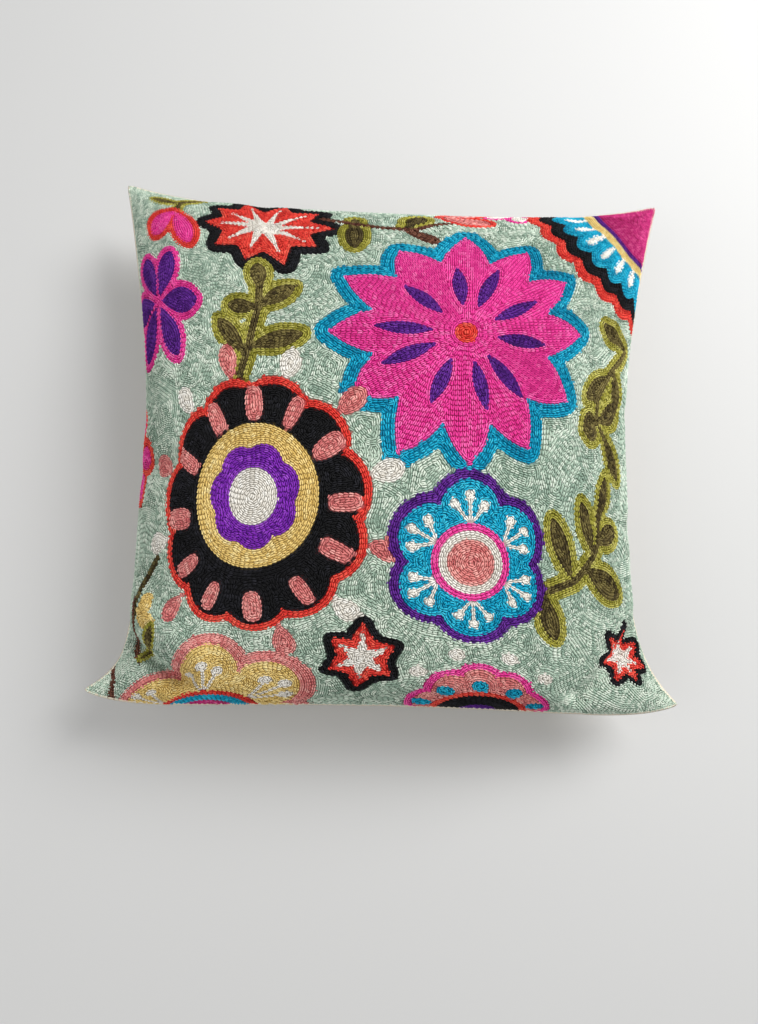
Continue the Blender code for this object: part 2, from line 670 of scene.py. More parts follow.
@dataclass(frozen=True)
class Bud:
    """A two-lobed bud with an outline."""

    centre: Place
    turn: float
    size: float
    outer: Yarn
    inner: Yarn
    band: float

    def work(self, panel: WorkedPanel) -> None:
        """Works the bud on the panel."""
        foot = along(self.centre, self.turn + 180, self.size * 0.45)
        lobes = [Petal(foot, self.turn + lean, self.size, self.size * 0.42, 0.62, 0.6) for lean in (-30, 30)]
        panel.fill(self.outer, *lobes, edge=self.band)
        for lobe in lobes:
            panel.fill(self.inner, lobe)


@dataclass(frozen=True)
class Spots:
    """Small round spots of one yarn."""

    yarn: Yarn
    places: tuple[Place, ...]
    radius: float

    def work(self, panel: WorkedPanel) -> None:
        """Works the spots on the panel."""
        for place in self.places:
            panel.fill(self.yarn, Lobed(place, self.radius))


UPPER_LEFT_SPRIG = Sprig(
    stem=((-0.104, 0.022), (-0.095, 0.048), (-0.087, 0.080), (-0.085, 0.112)),
    leaves=(
        Leaf(0.26, 132, 0.036, 0.0135),
        Leaf(0.32, 15, 0.042, 0.0130),
        Leaf(0.66, 178, 0.025, 0.0125),
        Leaf(0.66, 36, 0.033, 0.0130),
        Leaf(0.82, 93, 0.026, 0.0130),
    ),
)
RIGHT_SPRIG = Sprig(
    stem=(
        (0.170, 0.078),
        (0.190, 0.068),
        (0.205, 0.060),
        (0.184, 0.044),
        (0.166, 0.024),
        (0.174, 0.002),
        (0.192, -0.026),
    ),
    leaves=(
        Leaf(0.20, 155, 0.030, 0.0120),
        Leaf(0.47, 208, 0.034, 0.0150),
        Leaf(0.42, 292, 0.034, 0.0130),
        Leaf(0.72, 196, 0.024, 0.0200),
        Leaf(0.72, 18, 0.030, 0.0160),
        Leaf(0.78, 302, 0.036, 0.0120),
    ),
)
LOWER_RIGHT_SPRIG = Sprig(
    stem=((0.106, -0.104), (0.136, -0.094), (0.157, -0.076), (0.165, -0.058)),
    leaves=(
        Leaf(0.02, 281, 0.038, 0.0155),
        Leaf(0.36, 113, 0.046, 0.0140),
        Leaf(0.72, 109, 0.038, 0.0125),
        Leaf(0.84, 18, 0.032, 0.0140),
        Leaf(0.56, 333, 0.048, 0.0190),
        Leaf(0.95, 72, 0.038, 0.0125),
    ),
)
TOP_BRANCH = (
    Sprig(((-0.0225, 0.186), (-0.0225, 0.182)), (Leaf(0.5, 270, 0.044, 0.0120),)),
    Sprig(((0.010, 0.176), (0.012, 0.177)), (Leaf(0.5, 70, 0.026, 0.0130),)),
    Sprig(
        ((-0.044, 0.187), (-0.006, 0.173), (0.016, 0.171), (0.026, 0.182), (0.048, 0.192)),
        (Leaf(0.52, 322, 0.036, 0.0110),),
        0.0052,
        0.0,
        Yarn.BROWN,
    ),
    Bud((0.048, 0.206), 2, 0.038, Yarn.CORAL, Yarn.DUSTY_PINK, 0.0046),
)
LOWER_LEFT_TWIG = (
    Sprig(((-0.174, -0.088), (-0.196, -0.112), (-0.207, -0.140)), (), 0.0060, 0.0),
    Sprig(
        ((-0.204, -0.122), (-0.209, -0.146), (-0.203, -0.166), (-0.188, -0.180)),
        (),
        0.0050,
        0.0,
        Yarn.BROWN,
    ),
    Bud((-0.186, -0.130), 18, 0.022, Yarn.YELLOW, Yarn.YELLOW, 0.003),
    Sprig(((-0.190, -0.174), (-0.188, -0.170)), (Leaf(0.5, 66, 0.038, 0.0120),), 0.0050, 0.0030),
    Sprig(((-0.224, -0.192), (-0.206, -0.205), (-0.190, -0.224)), (), 0.0062, 0.0, Yarn.BROWN),
)

DESIGN = (
    LoosePetalFlower((0.084, 0.226), 6, 0.024, 0.0120, 35, Yarn.WHITE, Yarn.HOT_PINK, 0.0050),
    CornerRosette(),
    Sprig(
        ((-0.160, 0.186), (-0.156, 0.204), (-0.136, 0.222)),
        (Leaf(0.35, 178, 0.034, 0.0095),),
        0.0050,
        0.0036,
    ),
    Bud((-0.166, 0.164), 258, 0.048, Yarn.CORAL, Yarn.HOT_PINK, 0.0066),
    ThreeColourStar((-0.083, 0.169), 0.0465, 0.0330, 10, 0, 1.08, 0.0092, 0.0360, 0.0120),
    LoosePetalFlower((-0.186, 0.083), 6, 0.0430, 0.0215, 4, Yarn.PURPLE, Yarn.HOT_PINK),
    LoosePetalFlower((-0.230, -0.026), 6, 0.0270, 0.0150, 8, Yarn.HOT_PINK, Yarn.CORAL),
    UPPER_LEFT_SPRIG,
    RIGHT_SPRIG,
    *TOP_BRANCH,
    StarFlower(),
    Rosette(),
    LOWER_RIGHT_SPRIG,
    *LOWER_LEFT_TWIG,
    StamenFlower(),
    ThreeColourStar((-0.0147, -0.162), 0.0226, 0.0146, 6, 84, 1.32, 0.0060, 0.0172, 0.0070),
    ThreeColourStar((0.185, -0.160), 0.0285, 0.0160, 7, 76, 1.00, 0.0062, 0.0200, 0.0078),
    BorderFlower(
        (-0.106, -0.234),
        0.0680,
        1.24,
        6,
        0.33,
        104,
        (Yarn.DUSTY_PINK, 0.0104),
        Yarn.YELLOW,
        ((Yarn.CORAL, 0.0350), (Yarn.TURQUOISE, 0.0290), (Yarn.MAGENTA, 0.0200)),
        stamens=Stamens(26, 0.0250, 0.0050),
    ),
    BorderFlower(
        (0.057, -0.224),
        0.0410,
        1.34,
        10,
        0.13,
        90,
        (Yarn.HOT_PINK, 0.0060),
        Yarn.DUSTY_PINK,
        ((Yarn.CORAL, 0.0300), (Yarn.BLACK, 0.0252), (Yarn.PURPLE, 0.0105)),
        spots=Yarn.TURQUOISE,
    ),
    Spots(Yarn.WHITE, ((0.0193, -0.1735), (0.0440, -0.1560), (0.0785, -0.1585), (0.1015, -0.1775)), 0.0060),
)


# Rows of stitches over the flat panel


def distance_to_marks(marks: np.ndarray, reach: int) -> np.ndarray:
    """How far each spot of a map is from the nearest marked one.

    Args:
        marks: True where a spot is marked.
        reach: The furthest that is told apart, in spots.

    Returns:
        The distances in spots.
    """
    count = marks.shape[0]
    rows = np.arange(count)[:, None]
    below = np.maximum.accumulate(np.where(marks, rows, -count - reach), axis=0)
    above = np.minimum.accumulate(np.where(marks, rows, 2 * count + reach)[::-1], axis=0)[::-1]
    upright = np.minimum(rows - below, above - rows).astype(np.float32)
    squared = np.minimum(upright, reach) ** 2
    nearest = squared.copy()
    for step in range(1, reach):
        np.minimum(nearest[:, step:], squared[:, :-step] + step**2, out=nearest[:, step:])
        np.minimum(nearest[:, :-step], squared[:, step:] + step**2, out=nearest[:, :-step])
    return np.sqrt(nearest)


def softened(values: np.ndarray, times: int = 1) -> np.ndarray:
    """A map with each spot mixed with its neighbours."""
    for _ in range(times):
        for axis in (0, 1):
            before, after = np.roll(values, 1, axis), np.roll(values, -1, axis)
            values = (before + 2 * values + after) / 4
    return values


# For each way that a level can cut a square of four spots: the sides where the line comes in and
# goes out, with the higher side on its left. Sides are 0 below, 1 right, 2 above and 3 left.
CROSSINGS = {
    1: ((0, 3),),
    2: ((1, 0),),
    3: ((1, 3),),
    4: ((2, 1),),
    5: ((0, 3), (2, 1)),
    6: ((2, 0),),
    7: ((2, 3),),
    8: ((3, 2),),
    9: ((0, 2),),
    10: ((1, 0), (3, 2)),
    11: ((1, 2),),
    12: ((3, 1),),
    13: ((0, 1),),
    14: ((3, 0),),
}


def loops_at(values: np.ndarray, level: float) -> list[np.ndarray]:
    """The closed lines on which a map has one value.

    Args:
        values: The map, which is lower than the level all along its border.
        level: The value.

    Returns:
        One array of places for each loop, in spots, as columns and rows.
    """
    count = values.shape[0]
    high = values > level
    kind = high[:-1, :-1] + 2 * high[:-1, 1:] + 4 * high[1:, 1:] + 8 * high[1:, :-1]
    sides = count * count
    follows = {}
    for case, lines in CROSSINGS.items():
        row, column = np.nonzero(kind == case)
        here = row * count + column
        edge = (here, sides + here + 1, here + count, sides + here)
        for enter, leave in lines:
            follows.update(zip(edge[enter].tolist(), edge[leave].tolist()))
    loops = []
    while follows:
        start, here = follows.popitem()
        chain = [start]
        while here != start:
            chain.append(here)
            here = follows.pop(here)
        loops.append(np.array(chain))
    flat = values.ravel()
    found = []
    for chain in loops:
        upright = chain >= sides
        first = chain % sides
        second = np.where(upright, first + count, first + 1)
        share = (level - flat[first]) / (flat[second] - flat[first])
        column = first % count + np.where(upright, 0, share)
        row = first // count + np.where(upright, share, 0)
        found.append(np.stack([column, row], 1))
    return found


@dataclass
class LinkTable:
    """Every link of every row, on the flat panel: where it starts and ends, and its yarn."""

    start: list[np.ndarray] = field(default_factory=list)
    end: list[np.ndarray] = field(default_factory=list)
    row: list[np.ndarray] = field(default_factory=list)
    rows: int = 0

    def add_row(self, places: np.ndarray, closed: bool, phase: float = 0.0) -> None:
        """Lays one row of links along a line.

        Args:
            places: The places that the line passes.
            closed: Whether the line ends where it starts.
            phase: For a closed line, how far round it the first link starts, as a share of a link.
        """
        if closed:
            places = np.vstack([places, places[:1]])
        run = np.concatenate([[0], np.cumsum(np.hypot(*np.diff(places, axis=0).T))])
        whole = run[-1]
        if whole < LINK * 0.6:
            return
        count = max(1, round(whole / LINK))
        at = np.linspace(0, whole, count + 1) + (phase * whole / count if closed else 0)
        at = at % whole if closed else at
        ends = np.stack([np.interp(at, run, places[:, axis]) for axis in (0, 1)], 1)
        self.start.append(ends[:-1])
        self.end.append(ends[1:])
        self.row.append(np.full(count, self.rows))
        self.rows += 1

    def joined(self) -> tuple[np.ndarray, np.ndarray, np.ndarray]:
        """The starts, the ends and the row numbers of all links."""
        return np.vstack(self.start), np.vstack(self.end), np.concatenate(self.row)


@dataclass
class RowPlan:
    """Lays rows of chain stitch over a worked panel, so that they cover it."""

    panel: WorkedPanel
    reach: int = 64
    smallest_loop: float = 0.0030
    cover: float = 0.00150
    chance: np.random.Generator = field(default_factory=lambda: np.random.default_rng(SEED + 1))
    table: LinkTable = field(default_factory=LinkTable)

    def lay(self) -> LinkTable:
        """Lays all rows.

        Returns:
            The links.
        """
        depth = self.depths()
        self.echo_rows(depth)
        self.ray_rows(depth)
        for places in self.panel.lines.values():
            self.table.add_row(places, closed=False)
        self.fill_gaps(depth)
        return self.table

    def depths(self) -> np.ndarray:
        """How far each spot lies inside its own part, in metres."""
        part = self.panel.part
        edge = np.zeros(part.shape, bool)
        for axis in (0, 1):
            differs = np.diff(part, axis=axis) != 0
            edge[tuple(slice(0, size) for size in differs.shape)] |= differs
        edge[[0, -1], :] = True
        edge[:, [0, -1]] = True
        return distance_to_marks(edge, self.reach) * self.panel.spot

    def echo_rows(self, depth: np.ndarray) -> None:
        """Lays rows that follow the edges of each part, spread so that they fill it evenly."""
        part = self.panel.part
        deepest = np.zeros(self.panel.parts)
        np.maximum.at(deepest, part.ravel(), depth.ravel())
        rows = np.maximum(1, np.round(deepest / PITCH))
        stretch = rows * PITCH / np.maximum(deepest, PITCH / 4)
        stretch[list(self.panel.lines)] = 0
        height = depth * stretch[part]
        for number in self.panel.rays:
            height[part == number] = np.minimum(depth[part == number], PITCH * 0.95)
        height = softened(height)
        height[[0, -1], :] = 0
        height[:, [0, -1]] = 0
        for step in range(int(rows.max())):
            for loop in loops_at(height, (step + 0.5) * PITCH):
                places = (loop + 0.5) * self.panel.spot - self.panel.side / 2
                ground = self.panel.yarn[self.panel.spot_of(places[:1])][0] == Yarn.SAGE.value
                for _ in range(12 if ground and len(places) > 60 else 2):
                    before, after = np.roll(places, 1, 0), np.roll(places, -1, 0)
                    places = (before + places + after) / 3
                if len(places) * self.panel.spot > self.smallest_loop:
                    self.table.add_row(places, closed=True, phase=self.chance.random())

    def ray_rows(self, depth: np.ndarray) -> None:
        """Lays straight rows along the petals of each part that asks for them."""
        for number, rays in self.panel.rays.items():
            inside = (self.panel.part == number) & (depth > PITCH * 0.9)
            half = math.pi / rays.petals
            reach = np.arange(0, 0.120, self.panel.spot)
            for turn in round_turns(rays.petals, rays.turn):
                axis = np.array(along((0.0, 0.0), turn, 1.0))
                aside = np.array([-axis[1], axis[0]])
                for step in range(-14, 14):
                    offset = (step + 0.5) * PITCH
                    line = np.array(rays.centre) + reach[:, None] * axis + offset * aside
                    in_petal = np.abs(np.arctan2(offset, np.maximum(reach, 1e-6))) < half
                    row, column = self.panel.spot_of(line)
                    self.add_runs(line, inside[row, column] & in_petal)

    def add_runs(self, line: np.ndarray, laid: np.ndarray) -> None:
        """Lays a row on each stretch of a line where stitches belong."""
        change = np.flatnonzero(np.diff(np.concatenate([[0], laid.astype(int), [0]])))
        for first, last in zip(change[::2], change[1::2]):
            if (last - first) * self.panel.spot > LINK * 0.6:
                self.table.add_row(line[first:last], closed=False)

    def fill_gaps(self, depth: np.ndarray) -> None:
        """Adds short stitches wherever the rows leave cloth bare."""
        start, end, _ = self.table.joined()
        covered = np.zeros(self.panel.part.shape, bool)
        for share in np.linspace(0.1, 0.9, 6):
            covered[self.panel.spot_of(start + (end - start) * share)] = True
        bare = distance_to_marks(covered, 8) * self.panel.spot
        slope_y, slope_x = np.gradient(softened(depth, 2))
        wide = softened(slope_x**2, 6), softened(slope_y**2, 6), softened(slope_x * slope_y, 6)
        angle = 0.5 * np.arctan2(2 * wide[2], wide[0] - wide[1]) + math.pi / 2
        rows, columns = np.nonzero(bare > self.cover)
        order = np.argsort(-bare[rows, columns], kind="stable")
        taken = np.zeros(bare.shape, bool)
        near = int(round(PITCH * 0.95 / self.panel.spot))
        for row, column in zip(rows[order], columns[order]):
            if taken[row, column]:
                continue
            middle = np.array([column + 0.5, row + 0.5]) * self.panel.spot - self.panel.side / 2
            lean = angle[row, column]
            half = np.array([math.cos(lean), math.sin(lean)]) * LINK * 0.45
            self.table.add_row(np.array([middle - half, middle + half]), closed=False)
            taken[max(0, row - near) : row + near + 1, max(0, column - near) : column + near + 1] = True


# The filled cover


@dataclass(frozen=True)
class RimCorner:
    """Where one corner of the joining seam lies."""

    x: float
    y: float
    lift: float


@dataclass(frozen=True)
class RimSide:
    """How far one side of the seam is drawn in, bowed in and lifted at its middle.

    The first steepness is for the half beside the lower or left corner.
    """

    draw_in: float
    first_steepness: float
    second_steepness: float
    bow: float
    lift: float

    def pull(self, place: np.ndarray) -> np.ndarray:
        """How far the side is pulled in at places from -1 to 1 along it."""
        steepness = np.where(place < 0, self.first_steepness, self.second_steepness)
        return self.draw_in * (1 - np.abs(place) ** steepness) + self.bow * (1 - place**2)


@dataclass(frozen=True)
class Crease:
    """A soft trough on the front, or a ridge if its depth is below 0.

    Its places are shares of the half side, from -1 to 1.
    """

    start: Place
    end: Place
    depth: float
    width: float


def between(low: Any, high: Any, share: Any) -> Any:
    """The value that share of the way from low to high."""
    return low + (high - low) * share


@dataclass(frozen=True)
class CushionForm:
    """The form of the filled cushion, lying on its back, from the same sizes as its solid."""

    rim_height: float = 0.056
    front_crown: float = 0.080
    back_crown: float = 0.063
    fullness: float = 0.453
    belly_drop: float = 0.19
    ear_flatness: float = 0.31
    upper_left: RimCorner = RimCorner(-0.2133, 0.2094, 0.004)
    upper_right: RimCorner = RimCorner(0.2206, 0.1973, 0.002)
    lower_left: RimCorner = RimCorner(-0.2217, -0.1979, -0.002)
    lower_right: RimCorner = RimCorner(0.2217, -0.2022, -0.002)
    left: RimSide = RimSide(0.031, 11.0, 1.35, 0.000, 0.000)
    right: RimSide = RimSide(0.033, 6.0, 1.5, 0.000, 0.000)
    lower: RimSide = RimSide(-0.012, 8.0, 8.0, 0.007, 0.002)
    upper: RimSide = RimSide(0.017, 2.7, 2.7, 0.000, -0.002)
    creases: tuple[Crease, ...] = (
        Crease((-1.00, -0.78), (-0.72, -0.91), 0.016, 0.036),
        Crease((1.00, -0.70), (0.68, -0.93), 0.012, 0.052),
        Crease((-0.94, -0.68), (-0.70, -0.80), -0.007, 0.070),
        Crease((-0.98, 0.70), (-0.74, 0.96), 0.004, 0.060),
        Crease((0.98, 0.72), (0.72, 0.97), 0.004, 0.060),
        Crease((-1.00, -0.20), (-0.84, -0.15), 0.003, 0.045),
        Crease((1.00, 0.12), (0.83, 0.06), 0.003, 0.045),
        Crease((1.00, -0.34), (0.82, -0.30), 0.003, 0.045),
        Crease((-0.50, 1.00), (-0.44, 0.84), 0.003, 0.045),
    )

    def straight(self, across: np.ndarray, up: np.ndarray, axis: str) -> np.ndarray:
        """One coordinate in the four-cornered outline before its sides are drawn in."""
        share_x, share_y = (across + 1) / 2, (up + 1) / 2
        lower = between(getattr(self.lower_left, axis), getattr(self.lower_right, axis), share_x)
        upper = between(getattr(self.upper_left, axis), getattr(self.upper_right, axis), share_x)
        return between(lower, upper, share_y)

    def plan(self, across: np.ndarray, up: np.ndarray) -> tuple[np.ndarray, np.ndarray]:
        """Where points of the panels lie, seen from above."""
        share_x, share_y = (across + 1) / 2, (up + 1) / 2
        x = self.straight(across, up, "x") + between(self.left.pull(up), -self.right.pull(up), share_x)
        y = self.straight(across, up, "y") + between(self.lower.pull(across), -self.upper.pull(across), share_y)
        return x, y

    def rim(self, across: np.ndarray, up: np.ndarray) -> np.ndarray:
        """The height of the seam beside each point."""
        share_x, share_y = (across + 1) / 2, (up + 1) / 2
        sides = between(self.left.lift, self.right.lift, share_x) * (1 - up**2)
        ends = between(self.lower.lift, self.upper.lift, share_y) * (1 - across**2) * up**2
        return self.rim_height + self.straight(across, up, "lift") + sides + ends

    def swell(self, across: np.ndarray, up: np.ndarray) -> np.ndarray:
        """How full the cushion is, from 0 at the seam to 1 at its belly."""
        slumped = up + self.belly_drop * (1 - up**2)
        roundness = np.maximum(0, (1 - across**2) * (1 - slumped**2))
        return roundness ** (self.fullness + self.ear_flatness * (across * up) ** 6)

    def crease_depth(self, across: np.ndarray, up: np.ndarray) -> np.ndarray:
        """How deep the troughs of the front are."""
        depth = np.zeros(across.shape)
        for crease in self.creases:
            (ax, ay), (bx, by) = crease.start, crease.end
            run, rise = bx - ax, by - ay
            share = np.clip(((across - ax) * run + (up - ay) * rise) / (run**2 + rise**2), 0, 1)
            away = np.hypot(across - ax - run * share, up - ay - rise * share)
            depth += crease.depth * np.exp(-((away / crease.width) ** 2))
        return depth

    def front(self, across: np.ndarray, up: np.ndarray) -> np.ndarray:
        """The height of the worked face."""
        swell = self.swell(across, up)
        trough = self.crease_depth(across, up) * np.minimum(1, 3 * swell)
        return self.rim(across, up) + self.front_crown * swell - trough

    def back(self, across: np.ndarray, up: np.ndarray) -> np.ndarray:
        """The height of the back, which is pressed flat where it lies on the surface."""
        return np.maximum(0, self.rim(across, up) - self.back_crown * self.swell(across, up))


def refined(grid: np.ndarray) -> np.ndarray:
    """A grid of points with twice as many cells each way, rounded like a spline."""
    for axis in (0, 1):
        rows = np.swapaxes(grid, 0, axis)
        fine = np.empty((2 * len(rows) - 1, *rows.shape[1:]))
        fine[::2] = rows
        fine[2:-2:2] = (rows[:-2] + 6 * rows[1:-1] + rows[2:]) / 8
        fine[1::2] = (rows[:-1] + rows[1:]) / 2
        grid = np.swapaxes(fine, 0, axis)
    return grid


def grid_faces(count: int, first: int = 0, turned: bool = False) -> np.ndarray:
    """The four-sided faces of a square grid of points.

    Args:
        count: How many points it has each way.
        first: The number of its first point.
        turned: Whether the faces look the other way.

    Returns:
        Four point numbers for each face.
    """
    number = first + np.arange(count * count).reshape(count, count)
    corners = [number[:-1, :-1], number[:-1, 1:], number[1:, 1:], number[1:, :-1]]
    faces = np.stack([corner.ravel() for corner in corners], 1)
    return faces[:, ::-1] if turned else faces


def mesh_from(name: str, points: np.ndarray, faces: np.ndarray) -> bpy.types.Mesh:
    """Makes a smooth mesh from points and faces of one size."""
    mesh = bpy.data.meshes.new(name)
    mesh.from_pydata(points.tolist(), [], faces.tolist())
    mesh.update()
    mesh.shade_smooth()
    return mesh


def add_object(name: str, mesh: bpy.types.Mesh) -> bpy.types.Object:
    """Puts a mesh in the scene, where its points say."""
    piece = bpy.data.objects.new(name, mesh)
    bpy.context.scene.collection.objects.link(piece)
    return piece


@dataclass
class FilledCover:
    """Two panels sewn along their rim and pushed out by the filling.

    Attributes:
        form: The form that the solid gives.
        side: The side of each panel before it is filled.
        cells: Grid cells along a side while the cloth settles.
        ease: How much closer together the grid lines are at the rim, where the cloth turns.
        slack: How far inside its form the cloth starts.
        pressure: How hard the filling pushes.
        frames: How many steps the cloth has to settle.
        most_move: How far the cloth may settle away from its form.
        broad: Over how many cells a swelling counts as broad, not as a crease.
        form_kept: How much of the broad swelling is taken out.
        rim_held: How firmly the rim stays where its form has it.
    """

    form: CushionForm = CushionForm()
    side: float = 0.450
    cells: int = 100
    ease: float = 0.55
    slack: float = 0.0035
    pressure: float = 4.0
    frames: int = 16
    most_move: float = 0.008
    broad: int = 10
    form_kept: float = 0.95
    rim_held: float = 0.8
    front: np.ndarray = field(init=False)
    back: np.ndarray = field(init=False)

    def settle(self) -> None:
        """Gives both panels their form, and lets the cloth find its own puckers."""
        line = np.linspace(-1, 1, self.cells + 1)
        eased = line + (np.sin(line * math.pi / 2) - line) * self.ease
        across, up = np.meshgrid(eased, eased)
        x, y = self.form.plan(across, up)
        front = np.stack([x, y, self.form.front(across, up)], 2)
        back = np.stack([x, y, self.form.back(across, up)], 2)
        front, back = self.blown_up(front, back, self.form.swell(across, up))
        self.front, self.back = refined(front), refined(back)

    def blown_up(self, front: np.ndarray, back: np.ndarray, swell: np.ndarray) -> tuple[np.ndarray, np.ndarray]:
        """Runs the cloth with the filling's pressure, and keeps it near its form.

        Args:
            front: The front's points at their form.
            back: The back's points at their form.
            swell: How full the cushion is at each point.

        Returns:
            The points of the front and the back once the cloth has settled.
        """
        count = self.cells + 1
        slack = self.slack * np.minimum(1, 4 * swell)[..., None] * np.array([0, 0, 1])
        inner = np.s_[1:-1, 1:-1]
        start = np.vstack([(front - slack).reshape(-1, 3), (back + slack)[inner].reshape(-1, 3)])
        number = np.arange(count * count).reshape(count, count)
        beneath = number.copy()
        beneath[inner] = count * count + np.arange((count - 2) ** 2).reshape(count - 2, count - 2)
        upper = grid_faces(count)
        lower = beneath.ravel()[upper][:, ::-1]
        cloth = add_object("settling", mesh_from("settling", start, np.vstack([upper, lower])))
        line = np.linspace(-self.side / 2, self.side / 2, count)
        flat = np.stack([*np.meshgrid(line, line), np.full((count, count), self.form.rim_height)], 2)
        flat = np.vstack([flat.reshape(-1, 3), flat[inner].reshape(-1, 3)])
        settled = self.run_cloth(cloth, flat)
        bpy.data.objects.remove(cloth)
        upper = self.near_form(front, settled[: count * count].reshape(count, count, 3))
        lower = self.near_form(back, settled[beneath])
        for side in (np.s_[0], np.s_[-1], np.s_[:, 0], np.s_[:, -1]):
            lower[side] = upper[side]
        return upper, lower

    def near_form(self, form: np.ndarray, settled: np.ndarray) -> np.ndarray:
        """Keeps the creases of a settled panel, and lets it slip only along its form.

        Args:
            form: The panel's points at their form.
            settled: The same points once the cloth has settled.

        Returns:
            The points that are used.
        """
        outward = np.cross(np.gradient(form, axis=1), np.gradient(form, axis=0))
        outward /= np.maximum(np.linalg.norm(outward, axis=2, keepdims=True), 1e-12)
        move = settled - form
        edge = self.broad
        broad = np.pad(move, ((edge, edge), (edge, edge), (0, 0)), mode="edge")
        broad = softened(broad, 3 * edge)[edge:-edge, edge:-edge]
        swelling = outward * (broad * outward).sum(2, keepdims=True)
        step = np.minimum(np.arange(len(form)), np.arange(len(form))[::-1])
        rim_share = np.clip(1 - np.minimum(step[:, None], step) / edge, 0, 1)[..., None]
        move = move - between(swelling, broad, rim_share) * self.form_kept
        move = move * (1 - self.rim_held * rim_share**3)
        length = np.linalg.norm(move, axis=2, keepdims=True)
        points = form + move * np.minimum(1, self.most_move / np.maximum(length, 1e-9))
        points[..., 2] = np.maximum(points[..., 2], 0)
        return points

    def run_cloth(self, cloth: bpy.types.Object, flat: np.ndarray) -> np.ndarray:
        """Steps Blender's cloth simulation.

        Args:
            cloth: The closed cover at its starting form.
            flat: Where each point lies on the flat panels, which gives the cloth its size.

        Returns:
            The points after the last step.
        """
        cloth.shape_key_add(name="Basis")
        key = cloth.shape_key_add(name="flat")
        key.data.foreach_set("co", flat.ravel())
        settings = cloth.modifiers.new("Cloth", "CLOTH").settings
        settings.quality = 6
        settings.mass = 0.3
        settings.tension_stiffness = settings.compression_stiffness = 40
        settings.shear_stiffness = 10
        settings.bending_stiffness = 0.6
        settings.tension_damping = settings.compression_damping = settings.shear_damping = 15
        settings.air_damping = 3
        settings.use_pressure = True
        settings.uniform_pressure_force = self.pressure
        settings.effector_weights.gravity = 0
        settings.rest_shape_key = key
        for step in range(1, self.frames + 1):
            bpy.context.scene.frame_set(step)
        settled = cloth.evaluated_get(bpy.context.evaluated_depsgraph_get()).data
        points = np.empty(len(settled.vertices) * 3)
        settled.vertices.foreach_get("co", points)
        bpy.context.scene.frame_set(1)
        return points.reshape(-1, 3)

    def on_front(self, places: np.ndarray) -> np.ndarray:
        """Where places of the flat panel lie on the filled front.

        Args:
            places: Places on the flat panel, in metres from its middle.

        Returns:
            Points on the front.
        """
        last = len(self.front) - 1
        share = np.clip((places / self.side + 0.5) * last, 0, last)
        low = np.minimum(share.astype(int), last - 1)
        right, above = (share - low).T[..., None]
        column, row = low.T
        lower = between(self.front[row, column], self.front[row, column + 1], right)
        upper = between(self.front[row + 1, column], self.front[row + 1, column + 1], right)
        return between(lower, upper, above)


# Stitches as meshes


@dataclass(frozen=True)
class YarnLobe:
    """One side of a chain stitch: a spindle of yarn, in shares of the link's size.

    Attributes:
        along: How far along the link each ring is.
        aside: How far each ring is from the link's middle line.
        high: How high each ring is.
        thick: How thick each ring is; 0 closes the spindle to a tip.
    """

    along: tuple[float, ...] = (-0.58, -0.16, 0.26, 0.50)
    aside: tuple[float, ...] = (0.06, 0.23, 0.31, 0.14)
    high: tuple[float, ...] = (-0.50, -0.04, 0.26, -0.04)
    thick: tuple[float, ...] = (0.0, 0.19, 0.21, 0.0)


@dataclass(frozen=True)
class ChainLink:
    """One link of chain stitch, two lobes of yarn side by side, one unit long and wide."""

    lobe: YarnLobe = YarnLobe()
    ring: int = 4

    def mesh(self) -> bpy.types.Mesh:
        """Builds the link around the origin, with its length along +X and its top up."""
        form = bmesh.new()
        for side in (-1, 1):
            self.add_lobe(form, side)
        bmesh.ops.recalc_face_normals(form, faces=form.faces)
        mesh = bpy.data.meshes.new("chain_link")
        form.to_mesh(mesh)
        form.free()
        mesh.shade_smooth()
        return mesh

    def add_lobe(self, form: bmesh.types.BMesh, side: int) -> None:
        """Adds the lobe on one side of the middle line.

        Args:
            form: What the lobe is added to.
            side: -1 for right of the line, 1 for left.
        """
        lobe = self.lobe
        rings = []
        for along_link, aside, high, thick in zip(lobe.along, lobe.aside, lobe.high, lobe.thick):
            if not thick:
                rings.append([form.verts.new((along_link, side * aside, high))])
                continue
            turns = [2 * math.pi * step / self.ring for step in range(self.ring)]
            ring = [
                (along_link, side * aside + thick * math.cos(turn), high + 1.25 * thick * math.sin(turn))
                for turn in turns
            ]
            rings.append([form.verts.new(place) for place in ring])
        for before, after in zip(rings, rings[1:]):
            for step in range(self.ring):
                ends = [before[step % len(before)], before[(step + 1) % len(before)]]
                ends += [after[(step + 1) % len(after)], after[step % len(after)]]
                form.faces.new(list(dict.fromkeys(ends)))


class NodeTree:
    """A short way to add nodes to a tree and join them up."""

    def __init__(self, tree: bpy.types.NodeTree) -> None:
        """Keeps the tree."""
        self.tree = tree

    def add(self, kind: str, inputs: dict[str | int, Any] | None = None, **settings: Any) -> bpy.types.Node:
        """Adds one node.

        Args:
            kind: Blender's name for the node.
            inputs: Values or other nodes' outputs for its sockets.
            settings: The node's own settings.

        Returns:
            The node.
        """
        node = self.tree.nodes.new(kind)
        for name, value in settings.items():
            setattr(node, name, value)
        for name, value in (inputs or {}).items():
            if isinstance(value, bpy.types.NodeSocket):
                self.tree.links.new(value, node.inputs[name])
            else:
                node.inputs[name].default_value = value
        return node

    def join(self, source: bpy.types.NodeSocket, target: bpy.types.NodeSocket) -> None:
        """Joins an output to an input."""
        self.tree.links.new(source, target)


